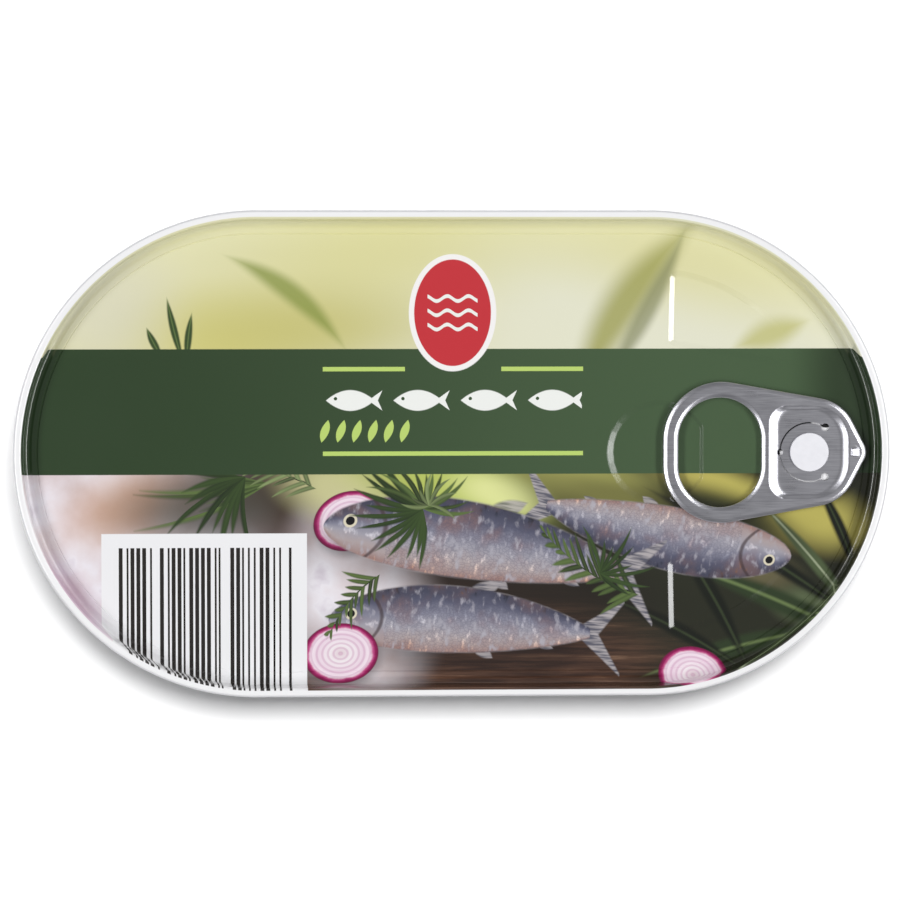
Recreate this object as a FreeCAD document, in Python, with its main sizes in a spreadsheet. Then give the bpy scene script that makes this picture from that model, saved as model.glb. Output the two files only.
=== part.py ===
import FreeCAD, Part
import math
import os
import Sketcher

# Oblong easy-open fish tin: drawn tray, seamed lid, rivet and ring-pull.
# Millimetres, +Z up. The tin lies on its base, lid up, the long way along X;
# the origin is the middle of the footprint, at the level it rests on.

SIZES = [
    # whole tin
    ("tin_length", 148.0),
    ("tin_width", 82.0),
    ("tin_height", 25.0),
    # double seam round the lid
    ("seam_height", 3.0),
    ("seam_crown_round", 0.6),
    ("seam_inner_round", 0.5),
    ("seam_toe_round", 0.4),
    # tray: its rim goes up into the seam, its wall leans in to the foot
    ("rim_inset", 0.95),
    ("rim_thickness", 0.3),
    ("rim_hook", 2.0),
    ("wall_lean_in", 1.3),
    ("base_corner_round", 3.0),
    ("foot_inset", 5.5),
    ("base_recess", 1.0),
    ("base_step_round", 0.45),
    ("bead_inset", 12.0),
    ("bead_width", 3.0),
    ("bead_drop", 0.6),
    ("bead_round", 0.25),
    # lid: chuck wall, countersink, panel
    ("chuck_wall", 0.25),
    ("chuck_lean", 4.0),
    ("countersink_depth", 4.4),
    ("countersink_round", 0.3),
    ("panel_inset", 2.9),
    ("panel_rise", 0.6),
    ("panel_round", 0.2),
    ("plate_under", 1.2),
    ("score_inset", 4.0),
    ("score_width", 0.25),
    ("score_depth", 0.12),
    # embossing beside and under the tab
    ("well_behind_rivet", 24.8),
    ("well_radius", 9.0),
    ("well_flat_behind", 18.0),
    ("well_depth", 0.6),
    ("well_slope", 40.0),
    ("wing_behind_rivet", 23.2),
    ("wing_low_y", 17.8),
    ("wing_slope", 8.7),
    ("wing_inset", 9.5),
    ("wing_height", 0.35),
    ("wing_corner_round", 1.6),
    ("wing_edge_round", 0.2),
    # rivet
    ("rivet_from_end", 13.4),
    ("rivet_head_dia", 6.6),
    ("rivet_head_height", 0.45),
    ("rivet_head_round", 0.2),
    ("rivet_shank_dia", 3.4),
    ("rivet_collar_dia", 5.4),
    ("rivet_collar_height", 0.55),
    # ring-pull, measured from the rivet's axis
    ("tab_ring_reach", 24.9),
    ("tab_ring_corner", 9.9),
    ("tab_ring_straight", 2.1),
    ("tab_slope", 10.1),
    ("tab_shoulder_x", 1.3),
    ("tab_shoulder_round", 5.8),
    ("tab_nose_reach", 9.75),
    ("tab_nose_round", 1.6),
    ("tab_edge_height", 1.15),
    ("tab_edge_drop", 0.35),
    ("tab_edge_round", 0.45),
    ("tab_plate_thickness", 0.35),
    ("hole_behind_rivet", 15.25),
    ("hole_width", 14.2),
    ("hole_height", 18.6),
    ("dish_left", 5.2),
    ("dish_right", 5.9),
    ("dish_half_width", 7.7),
    ("dish_left_round", 1.8),
    ("dish_right_round", 4.6),
    ("ridge_width", 1.6),
    ("ridge_overhang", 0.55),
    ("ridge_height", 0.2),
    ("ridge_round", 0.18),
    ("under_grow", 0.5),
    ("lance_radius", 5.0),
    ("lance_width", 0.25),
    ("lance_open_half", 58.0),
    ("vent_dia", 1.4),
    ("vent_x", 2.7),
    ("vent_y", 4.2),
    ("vent_back_x", 4.9),
    ("vent_back_dia", 1.1),
    ("nose_rib_length", 2.0),
    ("nose_rib_width", 1.2),
    ("nose_rib_height", 0.15),
    ("nose_rib_root", 0.05),
    ("nose_rib_round", 0.3),
]

doc = FreeCAD.newDocument("tin")
sheet = doc.addObject("Spreadsheet::Sheet", "sizes")
for row, (alias, value) in enumerate(SIZES, start=1):
    sheet.set("A%d" % row, alias)
    sheet.set("B%d" % row, str(value))
    sheet.setAlias("B%d" % row, alias)
doc.recompute()

# Sizes that follow from the others, written once as sheet expressions.
DERIVED = [
    ("seam_low", "tin_height - seam_height"),
    ("fill_level", "tin_height - countersink_depth - plate_under"),
    ("panel_level", "tin_height - countersink_depth + panel_rise"),
    ("neck_length", "tin_length - 2 * rim_inset"),
    ("neck_width", "tin_width - 2 * rim_inset"),
    ("seam_thickness", "rim_inset + rim_thickness + chuck_wall"),
    ("cup_length", "tin_length - 2 * rim_inset - 2 * rim_thickness"),
    ("cup_width", "tin_width - 2 * rim_inset - 2 * rim_thickness"),
    ("base_length", "tin_length - 2 * rim_inset - 2 * wall_lean_in"),
    ("base_width", "tin_width - 2 * rim_inset - 2 * wall_lean_in"),
    ("chuck_length", "tin_length - 2 * seam_thickness"),
    ("chuck_width", "tin_width - 2 * seam_thickness"),
    ("panel_length", "tin_length - 2 * panel_inset"),
    ("panel_width", "tin_width - 2 * panel_inset"),
    ("rivet_x", "tin_length / 2 - rivet_from_end"),
    ("end_center_x", "tin_length / 2 - tin_width / 2"),
]
for row, (alias, formula) in enumerate(DERIVED, start=len(SIZES) + 1):
    sheet.set("A%d" % row, alias)
    sheet.set("B%d" % row, "=" + formula)
    sheet.setAlias("B%d" % row, alias)
doc.recompute()


def size(alias):
    """One size as a number, for first guesses and for finding edges."""
    return float(sheet.get(alias))


def new_body(label):
    body = doc.addObject("PartDesign::Body", label)
    body.Label = label
    return body


def plane(body, role):
    for item in body.Origin.OriginFeatures:
        if item.Role == role:
            return item
    raise ValueError(role)


def new_sketch(body, name, level="0", role="XY_Plane"):
    """Empty sketch on one of the body's origin planes, lifted by an expression."""
    sketch = body.newObject("Sketcher::SketchObject", name)
    sketch.AttachmentSupport = [(plane(body, role), "")]
    sketch.MapMode = "FlatFace"
    if level != "0":
        sketch.setExpression("AttachmentOffset.Base.z", level)
    return sketch


def vec(x, y):
    return FreeCAD.Vector(x, y, 0)


def hold(sketch, kind, args, formula=None, guess=0.0):
    """Add a constraint; a formula binds its value to the sheet."""
    if formula is None:
        return sketch.addConstraint(Sketcher.Constraint(kind, *args))
    index = sketch.addConstraint(Sketcher.Constraint(kind, *args, guess))
    sketch.setExpression("Constraints[%d]" % index, formula)
    return index


def arc(cx, cy, radius, start, end):
    circle = Part.Circle(vec(cx, cy), FreeCAD.Vector(0, 0, 1), radius)
    return Part.ArcOfCircle(circle, math.radians(start), math.radians(end))


def stadium(sketch, length, width, long_axis="x", center_x="0"):
    """Closed racetrack: two straights and two half circles, centred on the X axis."""
    run = value_of(length) - value_of(width)
    r = value_of(width) / 2
    s = run / 2
    cx = value_of(center_x)
    n = sketch.GeometryCount
    if long_axis == "x":
        sketch.addGeometry(Part.LineSegment(vec(cx + s, r), vec(cx - s, r)))
        sketch.addGeometry(arc(cx - s, 0, r, 90, 270))
        sketch.addGeometry(Part.LineSegment(vec(cx - s, -r), vec(cx + s, -r)))
        sketch.addGeometry(arc(cx + s, 0, r, -90, 90))
    else:
        sketch.addGeometry(Part.LineSegment(vec(cx - r, s), vec(cx - r, -s)))
        sketch.addGeometry(arc(cx, -s, r, 180, 360))
        sketch.addGeometry(Part.LineSegment(vec(cx + r, -s), vec(cx + r, s)))
        sketch.addGeometry(arc(cx, s, r, 0, 180))
    hold(sketch, "Tangent", (n, 2, n + 1, 1))
    hold(sketch, "Tangent", (n + 1, 2, n + 2, 1))
    hold(sketch, "Tangent", (n + 2, 2, n + 3, 1))
    hold(sketch, "Tangent", (n + 3, 2, n, 1))
    hold(sketch, "Equal", (n + 1, n + 3))
    if long_axis == "x":
        hold(sketch, "Horizontal", (n,))
        hold(sketch, "PointOnObject", (n + 1, 3, -1))
        hold(sketch, "DistanceX", (n + 1, 3, n + 3, 3), "%s - %s" % (length, width), run)
        hold(sketch, "DistanceX", (-1, 1, n + 3, 3), "(%s - %s) / 2 + %s" % (length, width, center_x), cx + s)
    else:
        hold(sketch, "Vertical", (n,))
        hold(sketch, "DistanceX", (-1, 1, n + 3, 3), center_x, cx)
        hold(sketch, "DistanceY", (-1, 1, n + 3, 3), "(%s - %s) / 2" % (length, width), s)
        hold(sketch, "DistanceY", (n + 1, 3, -1, 1), "(%s - %s) / 2" % (length, width), s)
    hold(sketch, "Radius", (n + 1,), "(%s) / 2" % width, r)


def value_of(formula):
    """Number a sheet formula gives now, used as a sketch's first guess."""
    text = formula
    for alias, _ in sorted(SIZES + DERIVED, key=lambda item: -len(item[0])):
        text = text.replace("sizes." + alias, repr(size(alias)))
    return float(FreeCAD.Units.parseQuantity(text).Value)


def ring(sketch, length, width, thickness):
    """Two concentric racetracks, the inner one in by the thickness all round."""
    stadium(sketch, length, width)
    stadium(sketch, "(%s - 2 * %s)" % (length, thickness), "(%s - 2 * %s)" % (width, thickness))


def pad(body, sketch, height, name, lean=None):
    item = body.newObject("PartDesign::Pad", name)
    item.Profile = sketch
    item.Length = value_of(height)
    item.setExpression("Length", height)
    if lean:
        item.TaperAngle = value_of(lean)
        item.setExpression("TaperAngle", lean)
    sketch.Visibility = False
    doc.recompute()
    return item


def pocket(body, sketch, depth, name, lean=None, upward=False):
    before = body.Shape.Volume
    item = body.newObject("PartDesign::Pocket", name)
    item.Profile = sketch
    item.Length = value_of(depth)
    item.setExpression("Length", depth)
    item.Reversed = upward
    if lean:
        item.TaperAngle = value_of(lean)
        item.setExpression("TaperAngle", lean)
    sketch.Visibility = False
    doc.recompute()
    if body.Shape.Volume >= before:
        raise ValueError("pocket took nothing away: " + name)
    return item


def fillet(body, base, names, radius, name):
    if not names:
        raise ValueError("no edges for " + name)
    item = body.newObject("PartDesign::Fillet", name)
    item.Base = (base, names)
    item.Radius = value_of(radius)
    item.setExpression("Radius", radius)
    doc.recompute()
    return item


def samples(edge):
    lo, hi = edge.ParameterRange
    return [edge.valueAt(lo + (hi - lo) * t) for t in (0.05, 0.35, 0.65, 0.95)]


def off_racetrack(point, length, width):
    """How far a point lies outside a racetrack of the given size."""
    run = max(abs(point.x) - (length - width) / 2, 0.0)
    return math.hypot(run, point.y) - width / 2


def edges(shape, test):
    return ["Edge%d" % (i + 1) for i, edge in enumerate(shape.Edges) if all(test(p) for p in samples(edge))]


def edges_at(shape, z, length, width, slack=0.02):
    """Names of the edges that run round one racetrack at one height."""
    return edges(shape, lambda p: abs(p.z - z) < slack and abs(off_racetrack(p, length, width)) < slack)


# ---------------------------------------------------------------- tray
tray = new_body("tin_body")
foot = new_sketch(tray, "foot_outline")
stadium(foot, "sizes.base_length", "sizes.base_width")
neck = new_sketch(tray, "neck_outline", "sizes.seam_low")
stadium(neck, "sizes.neck_length", "sizes.neck_width")
wall = tray.newObject("PartDesign::AdditiveLoft", "wall")
wall.Profile = foot
wall.Sections = [neck]
wall.Ruled = True
doc.recompute()
rim = new_sketch(tray, "rim_outline", "sizes.seam_low")
stadium(rim, "sizes.neck_length", "sizes.neck_width")
pad(tray, rim, "sizes.rim_hook", "rim")
cup = new_sketch(tray, "cup_outline", "sizes.seam_low + sizes.rim_hook")
stadium(cup, "sizes.cup_length", "sizes.cup_width")
pocket(tray, cup, "sizes.seam_low + sizes.rim_hook - sizes.fill_level", "cup")
hollow = new_sketch(tray, "base_recess_outline")
stadium(hollow, "(sizes.base_length - 2 * sizes.foot_inset)", "(sizes.base_width - 2 * sizes.foot_inset)")
pocket(tray, hollow, "sizes.base_recess", "base_recess", upward=True)
bead = new_sketch(tray, "base_bead_outline", "sizes.base_recess")
ring(bead, "(sizes.base_length - 2 * sizes.bead_inset)", "(sizes.base_width - 2 * sizes.bead_inset)",
     "sizes.bead_width")
bead_pad = pad(tray, bead, "sizes.bead_drop", "base_bead")
bead_pad.Reversed = True
doc.recompute()

bl, bw = size("base_length"), size("base_width")
names = edges_at(bead_pad.Shape, 0.0, bl, bw)
corner = fillet(tray, bead_pad, names, "sizes.base_corner_round", "base_corner")
inset = size("foot_inset")
names = edges_at(corner.Shape, 0.0, bl - 2 * inset, bw - 2 * inset)
names += edges_at(corner.Shape, size("base_recess"), bl - 2 * inset, bw - 2 * inset)
step = fillet(tray, corner, names, "sizes.base_step_round", "base_step")
inset = size("bead_inset")
low = size("base_recess") - size("bead_drop")
names = edges_at(step.Shape, low, bl - 2 * inset, bw - 2 * inset)
inset += size("bead_width")
names += edges_at(step.Shape, low, bl - 2 * inset, bw - 2 * inset)
fillet(tray, step, names, "sizes.bead_round", "base_bead_round")

# ---------------------------------------------------------------- lid
# Modelled from its underside, which lies on the filling, and lifted into place.
lid = new_body("lid")
TOP = "(sizes.tin_height - sizes.fill_level)"
SEAM_LOW = "(sizes.seam_low - sizes.fill_level)"
SINK = "sizes.plate_under"
PANEL = "(sizes.plate_under + sizes.panel_rise)"

plate = new_sketch(lid, "plate_outline")
stadium(plate, "sizes.cup_length", "sizes.cup_width")
pad(lid, plate, TOP, "plate")
seam = new_sketch(lid, "seam_outline", SEAM_LOW)
stadium(seam, "sizes.tin_length", "sizes.tin_width")
pad(lid, seam, "sizes.seam_height", "seam")
slot = new_sketch(lid, "rim_slot_outline", SEAM_LOW)
ring(slot, "sizes.neck_length", "sizes.neck_width", "sizes.rim_thickness")
pocket(lid, slot, "sizes.rim_hook", "rim_slot", upward=True)
recess = new_sketch(lid, "recess_outline", TOP)
stadium(recess, "sizes.chuck_length", "sizes.chuck_width")
recess_pocket = pocket(lid, recess, "sizes.countersink_depth", "recess", lean="-sizes.chuck_lean")
panel = new_sketch(lid, "panel_outline", SINK)
stadium(panel, "sizes.panel_length", "sizes.panel_width")
panel_pad = pad(lid, panel, "sizes.panel_rise", "panel")

top = size("tin_height") - size("fill_level")
tl, tw = size("tin_length"), size("tin_width")
names = edges_at(panel_pad.Shape, top, tl, tw)
crown = fillet(lid, panel_pad, names, "sizes.seam_crown_round", "seam_crown")
names = edges_at(crown.Shape, top, size("chuck_length"), size("chuck_width"))
inner = fillet(lid, crown, names, "sizes.seam_inner_round", "seam_inner")
names = edges_at(inner.Shape, top - size("seam_height"), tl, tw)
toe = fillet(lid, inner, names, "sizes.seam_toe_round", "seam_toe")
sink = size("plate_under")
shift = size("countersink_depth") * math.tan(math.radians(size("chuck_lean")))
names = edges_at(toe.Shape, sink, size("chuck_length") - 2 * shift, size("chuck_width") - 2 * shift)
names += edges_at(toe.Shape, sink, size("panel_length"), size("panel_width"))
sunk = fillet(lid, toe, names, "sizes.countersink_round", "countersink")
up = sink + size("panel_rise")
names = edges_at(sunk.Shape, up, size("panel_length"), size("panel_width"))
fillet(lid, sunk, names, "sizes.panel_round", "panel_edge")

score = new_sketch(lid, "score_outline", PANEL)
ring(score, "(sizes.tin_length - 2 * sizes.score_inset)", "(sizes.tin_width - 2 * sizes.score_inset)",
     "sizes.score_width")
pocket(lid, score, "sizes.score_depth", "score")

# Finger well: a shallow dish under the ring, cut off straight on the rivet's side.
well = new_sketch(lid, "well_outline", PANEL)
WELL_X = "(sizes.rivet_x - sizes.well_behind_rivet)"
FLAT_X = "(sizes.rivet_x - sizes.well_flat_behind)"
wx, wr, fx = value_of(WELL_X), size("well_radius"), value_of(FLAT_X)
turn = math.degrees(math.acos((fx - wx) / wr))
rise = wr * math.sin(math.radians(turn))
well.addGeometry(arc(wx, 0, wr, turn, 360 - turn))
well.addGeometry(Part.LineSegment(vec(fx, -rise), vec(fx, rise)))
hold(well, "Coincident", (0, 2, 1, 1))
hold(well, "Coincident", (1, 2, 0, 1))
hold(well, "Vertical", (1,))
hold(well, "PointOnObject", (0, 3, -1))
hold(well, "Radius", (0,), "sizes.well_radius", wr)
hold(well, "DistanceX", (-1, 1, 0, 3), WELL_X, wx)
hold(well, "DistanceX", (-1, 1, 1, 2), FLAT_X, fx)
pocket(lid, well, "sizes.well_depth", "well", lean="-sizes.well_slope")

# Embossed wings either side of the tab, following the end of the tin.
wing = new_sketch(lid, "wing_outline", PANEL)
WING_X = "(sizes.rivet_x - sizes.wing_behind_rivet)"
WING_R = "(sizes.tin_width / 2 - sizes.wing_inset)"
gx, gy, gr = value_of(WING_X), size("wing_low_y"), value_of(WING_R)
ex = size("end_center_x")
slope = math.radians(size("wing_slope"))
t = 0.0
while math.hypot(gx + t - ex, gy - t * math.tan(slope)) < gr:
    t += 0.01
tip = vec(gx + t, gy - t * math.tan(slope))
lift = math.sqrt(gr ** 2 - (gx - ex) ** 2)
a0 = math.degrees(math.atan2(tip.y, tip.x - ex))
a1 = math.degrees(math.atan2(lift, gx - ex))
wing.addGeometry(Part.LineSegment(vec(gx, lift), vec(gx, gy)))
wing.addGeometry(Part.LineSegment(vec(gx, gy), tip))
wing.addGeometry(arc(ex, 0, gr, a0, a1))
hold(wing, "Coincident", (0, 2, 1, 1))
hold(wing, "Coincident", (1, 2, 2, 1))
hold(wing, "Coincident", (2, 2, 0, 1))
hold(wing, "Vertical", (0,))
hold(wing, "PointOnObject", (2, 3, -1))
hold(wing, "Radius", (2,), WING_R, gr)
hold(wing, "DistanceX", (-1, 1, 2, 3), "sizes.end_center_x", ex)
hold(wing, "DistanceX", (-1, 1, 0, 2), WING_X, gx)
hold(wing, "DistanceY", (-1, 1, 0, 2), "sizes.wing_low_y", gy)
hold(wing, "Angle", (1,), "-sizes.wing_slope * 1 deg", -slope)
wing_pad = pad(lid, wing, "sizes.wing_height", "wing")
mirror = lid.newObject("PartDesign::Mirrored", "wings")
mirror.Originals = [wing_pad]
mirror.MirrorPlane = (plane(lid, "XZ_Plane"), [""])
lid.Tip = mirror
doc.recompute()
wing_top = up + size("wing_height")


def wing_corner(edge):
    a, b = edge.valueAt(edge.FirstParameter), edge.valueAt(edge.LastParameter)
    upright = math.hypot(a.x - b.x, a.y - b.y) < 0.01
    return upright and abs(max(a.z, b.z) - wing_top) < 0.01 and abs(min(a.z, b.z) - up) < 0.01


names = ["Edge%d" % (i + 1) for i, e in enumerate(mirror.Shape.Edges) if wing_corner(e)]
rounded = fillet(lid, mirror, names, "sizes.wing_corner_round", "wing_corners")
names = edges(rounded.Shape, lambda p: abs(p.z - wing_top) < 0.01)
fillet(lid, rounded, names, "sizes.wing_edge_round", "wing_edges")
lid.setExpression("Placement.Base.z", "sizes.fill_level")

# ---------------------------------------------------------------- rivet
rivet = new_body("rivet")
spool = new_sketch(rivet, "spool_profile", role="XZ_Plane")
c, h = size("rivet_collar_dia") / 2, size("rivet_collar_height")
k, g = size("rivet_shank_dia") / 2, size("rivet_collar_height") + size("tab_plate_thickness")
d, e = size("rivet_head_dia") / 2, g + size("rivet_head_height")
corners = [(0, 0), (c, 0), (c, h), (k, h), (k, g), (d, g), (d, e), (0, e)]
for i, corner_point in enumerate(corners):
    after = corners[(i + 1) % len(corners)]
    spool.addGeometry(Part.LineSegment(vec(*corner_point), vec(*after)))
for i in range(len(corners)):
    hold(spool, "Coincident", (i, 2, (i + 1) % len(corners), 1))
for i in (0, 2, 4, 6):
    hold(spool, "Horizontal", (i,))
for i in (1, 3, 5, 7):
    hold(spool, "Vertical", (i,))
hold(spool, "Coincident", (0, 1, -1, 1))
HEAD_LOW = "(sizes.rivet_collar_height + sizes.tab_plate_thickness)"
hold(spool, "DistanceX", (-1, 1, 1, 1), "sizes.rivet_collar_dia / 2", c)
hold(spool, "DistanceY", (-1, 1, 2, 1), "sizes.rivet_collar_height", h)
hold(spool, "DistanceX", (-1, 1, 3, 1), "sizes.rivet_shank_dia / 2", k)
hold(spool, "DistanceY", (-1, 1, 4, 1), HEAD_LOW, g)
hold(spool, "DistanceX", (-1, 1, 5, 1), "sizes.rivet_head_dia / 2", d)
hold(spool, "DistanceY", (-1, 1, 6, 1), HEAD_LOW + " + sizes.rivet_head_height", e)
turned = rivet.newObject("PartDesign::Revolution", "spool")
turned.Profile = spool
turned.ReferenceAxis = (spool, ["V_Axis"])
turned.Angle = 360
doc.recompute()
names = edges(turned.Shape, lambda p: abs(p.z - e) < 0.01 and abs(math.hypot(p.x, p.y) - d) < 0.01)
fillet(rivet, turned, names, "sizes.rivet_head_round", "rivet_head_edge")
rivet.setExpression("Placement.Base.x", "sizes.rivet_x")
rivet.setExpression("Placement.Base.z", "sizes.panel_level")

# ---------------------------------------------------------------- ring-pull
# Local origin on the rivet's axis, at the underside of the plate it is riveted by.
tab = new_body("pull_tab")
EDGE_LOW = "-sizes.tab_edge_drop"
half = new_sketch(tab, "half_outline", EDGE_LOW)
reach, rc, rs = size("tab_ring_reach"), size("tab_ring_corner"), size("tab_ring_straight")
ts = math.radians(size("tab_slope"))
sx, sr = size("tab_shoulder_x"), size("tab_shoulder_round")
nx, nr = size("tab_nose_reach"), size("tab_nose_round")
ax, ay = -reach + rc, rs
p2 = vec(ax + rc * math.sin(ts), ay + rc * math.cos(ts))
# shoulder centre: its arc touches the sloping line
p3x = sx + sr * math.sin(ts)
p3 = vec(p3x, p2.y - (p3x - p2.x) * math.tan(ts))
sy = p3.y - sr * math.cos(ts)
ncx = nx - nr
gap = math.hypot(ncx - sx, sy)
lean = math.atan2(-sy, ncx - sx) + math.acos((sr - nr) / gap)
p4 = vec(sx + sr * math.cos(lean), sy + sr * math.sin(lean))
p5 = vec(ncx + nr * math.cos(lean), nr * math.sin(lean))
half.addGeometry(Part.LineSegment(vec(-reach, 0), vec(-reach, ay)))
half.addGeometry(arc(ax, ay, rc, 90 - math.degrees(ts), 180))
half.addGeometry(Part.LineSegment(p2, p3))
half.addGeometry(arc(sx, sy, sr, math.degrees(lean), 90 - math.degrees(ts)))
half.addGeometry(Part.LineSegment(p4, p5))
half.addGeometry(arc(ncx, 0, nr, 0, math.degrees(lean)))
half.addGeometry(Part.LineSegment(vec(nx, 0), vec(-reach, 0)))
hold(half, "Tangent", (0, 2, 1, 2))
hold(half, "Tangent", (1, 1, 2, 1))
hold(half, "Tangent", (2, 2, 3, 2))
hold(half, "Tangent", (3, 1, 4, 1))
hold(half, "Tangent", (4, 2, 5, 2))
hold(half, "Coincident", (5, 1, 6, 1))
hold(half, "Coincident", (6, 2, 0, 1))
hold(half, "Vertical", (0,))
hold(half, "Horizontal", (6,))
hold(half, "PointOnObject", (0, 1, -1))
hold(half, "PointOnObject", (5, 3, -1))
hold(half, "DistanceX", (0, 1, -1, 1), "sizes.tab_ring_reach", reach)
hold(half, "DistanceX", (-1, 1, 5, 1), "sizes.tab_nose_reach", nx)
hold(half, "Radius", (1,), "sizes.tab_ring_corner", rc)
hold(half, "DistanceY", (-1, 1, 1, 3), "sizes.tab_ring_straight", rs)
hold(half, "Angle", (2,), "-sizes.tab_slope * 1 deg", -ts)
hold(half, "Radius", (3,), "sizes.tab_shoulder_round", sr)
hold(half, "DistanceX", (-1, 1, 3, 3), "sizes.tab_shoulder_x", sx)
hold(half, "Radius", (5,), "sizes.tab_nose_round", nr)
half_pad = pad(tab, half, "sizes.tab_edge_height", "half")
whole = tab.newObject("PartDesign::Mirrored", "outline")
whole.Originals = [half_pad]
whole.MirrorPlane = (plane(tab, "XZ_Plane"), [""])
tab.Tip = whole
doc.recompute()

hole = new_sketch(tab, "finger_hole_outline", EDGE_LOW)
stadium(hole, "sizes.hole_height", "sizes.hole_width", "y", "-sizes.hole_behind_rivet")
bored = pocket(tab, hole, "sizes.tab_edge_height", "finger_hole", upward=True)
zlow = -size("tab_edge_drop")
zhigh = zlow + size("tab_edge_height")


def at_level(level):
    return lambda p: abs(p.z - level) < 0.01


names = edges(bored.Shape, at_level(zhigh)) + edges(bored.Shape, at_level(zlow))
curled = fillet(tab, bored, names, "sizes.tab_edge_round", "curled_edges")

# Raised ridge behind the dish, then the dish itself from above and below.
TOP_LEVEL = "(sizes.tab_edge_height - sizes.tab_edge_drop)"


def rounded_box(sketch, left, right, half_width, left_round, right_round):
    """Rectangle with its own pair of corner radii at each end, even about the X axis."""
    x0, x1, hy = value_of(left), value_of(right), value_of(half_width)
    r0, r1 = value_of(left_round), value_of(right_round)
    sketch.addGeometry(Part.LineSegment(vec(x0, hy - r0), vec(x0, r0 - hy)))
    sketch.addGeometry(arc(x0 + r0, r0 - hy, r0, 180, 270))
    sketch.addGeometry(Part.LineSegment(vec(x0 + r0, -hy), vec(x1 - r1, -hy)))
    sketch.addGeometry(arc(x1 - r1, r1 - hy, r1, 270, 360))
    sketch.addGeometry(Part.LineSegment(vec(x1, r1 - hy), vec(x1, hy - r1)))
    sketch.addGeometry(arc(x1 - r1, hy - r1, r1, 0, 90))
    sketch.addGeometry(Part.LineSegment(vec(x1 - r1, hy), vec(x0 + r0, hy)))
    sketch.addGeometry(arc(x0 + r0, hy - r0, r0, 90, 180))
    for i in range(8):
        hold(sketch, "Tangent", (i, 2, (i + 1) % 8, 1))
    hold(sketch, "Vertical", (0,))
    hold(sketch, "Horizontal", (2,))
    hold(sketch, "Vertical", (4,))
    hold(sketch, "Horizontal", (6,))
    hold(sketch, "DistanceX", (-1, 1, 0, 1), left, x0)
    hold(sketch, "DistanceX", (-1, 1, 4, 1), right, x1)
    hold(sketch, "DistanceY", (-1, 1, 6, 1), half_width, hy)
    hold(sketch, "DistanceY", (2, 1, -1, 1), half_width, hy)
    hold(sketch, "Radius", (1,), left_round, r0)
    hold(sketch, "Radius", (3,), right_round, r1)
    hold(sketch, "Radius", (5,), right_round, r1)
    hold(sketch, "Radius", (7,), left_round, r0)


ridge = new_sketch(tab, "bead_outline", TOP_LEVEL)
rounded_box(ridge, "-(sizes.dish_left + sizes.ridge_width)", "-(sizes.dish_left - sizes.ridge_width)",
            "(sizes.dish_half_width + sizes.ridge_overhang)", "sizes.ridge_width / 2",
            "sizes.ridge_width / 2")
ridge_pad = pad(tab, ridge, "sizes.ridge_height", "ridge")
names = edges(ridge_pad.Shape, at_level(zhigh + size("ridge_height")))
fillet(tab, ridge_pad, names, "sizes.ridge_round", "ridge_edge")
dish = new_sketch(tab, "dish_outline", TOP_LEVEL + " + sizes.ridge_height")
rounded_box(dish, "-sizes.dish_left", "sizes.dish_right", "sizes.dish_half_width",
            "sizes.dish_left_round", "sizes.dish_right_round")
pocket(tab, dish, TOP_LEVEL + " + sizes.ridge_height - sizes.tab_plate_thickness", "dish")
under = new_sketch(tab, "under_outline", EDGE_LOW)
rounded_box(under, "-(sizes.dish_left - sizes.under_grow)", "(sizes.dish_right - sizes.under_grow)",
            "(sizes.dish_half_width - sizes.under_grow)", "sizes.dish_left_round", "sizes.dish_right_round")
pocket(tab, under, "sizes.tab_edge_drop", "under_dish", upward=True)

# Rivet hole, the C-shaped lance cut that lets the plate bend, and three small vents.
bore = new_sketch(tab, "rivet_hole_outline")
bore.addGeometry(Part.Circle(vec(0, 0), FreeCAD.Vector(0, 0, 1), size("rivet_shank_dia") / 2))
hold(bore, "Coincident", (0, 3, -1, 1))
hold(bore, "Diameter", (0,), "sizes.rivet_shank_dia", size("rivet_shank_dia"))
pocket(tab, bore, "sizes.tab_plate_thickness", "rivet_hole", upward=True)
lance = new_sketch(tab, "lance_outline")
lr, lw, open_half = size("lance_radius"), size("lance_width"), size("lance_open_half")
r_out, r_in = lr + lw / 2, lr - lw / 2
ca, sa = math.cos(math.radians(open_half)), math.sin(math.radians(open_half))
lance.addGeometry(arc(0, 0, r_out, open_half, 360 - open_half))
lance.addGeometry(arc(0, 0, r_in, open_half, 360 - open_half))
lance.addGeometry(Part.LineSegment(vec(r_out * ca, r_out * sa), vec(r_in * ca, r_in * sa)))
lance.addGeometry(Part.LineSegment(vec(r_out * ca, -r_out * sa), vec(r_in * ca, -r_in * sa)))
hold(lance, "Coincident", (0, 1, 2, 1))
hold(lance, "Coincident", (1, 1, 2, 2))
hold(lance, "Coincident", (0, 2, 3, 1))
hold(lance, "Coincident", (1, 2, 3, 2))
hold(lance, "Coincident", (0, 3, -1, 1))
hold(lance, "Coincident", (1, 3, -1, 1))
hold(lance, "Radius", (0,), "sizes.lance_radius + sizes.lance_width / 2", r_out)
hold(lance, "Radius", (1,), "sizes.lance_radius - sizes.lance_width / 2", r_in)
hold(lance, "DistanceX", (-1, 1, 2, 1), "(sizes.lance_radius + sizes.lance_width / 2)"
     " * cos(sizes.lance_open_half * 1 deg)", r_out * ca)
hold(lance, "DistanceX", (-1, 1, 2, 2), "(sizes.lance_radius - sizes.lance_width / 2)"
     " * cos(sizes.lance_open_half * 1 deg)", r_in * ca)
hold(lance, "DistanceX", (-1, 1, 3, 1), "(sizes.lance_radius + sizes.lance_width / 2)"
     " * cos(sizes.lance_open_half * 1 deg)", r_out * ca)
hold(lance, "DistanceX", (-1, 1, 3, 2), "(sizes.lance_radius - sizes.lance_width / 2)"
     " * cos(sizes.lance_open_half * 1 deg)", r_in * ca)
pocket(tab, lance, "sizes.tab_plate_thickness", "lance", upward=True)
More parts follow.
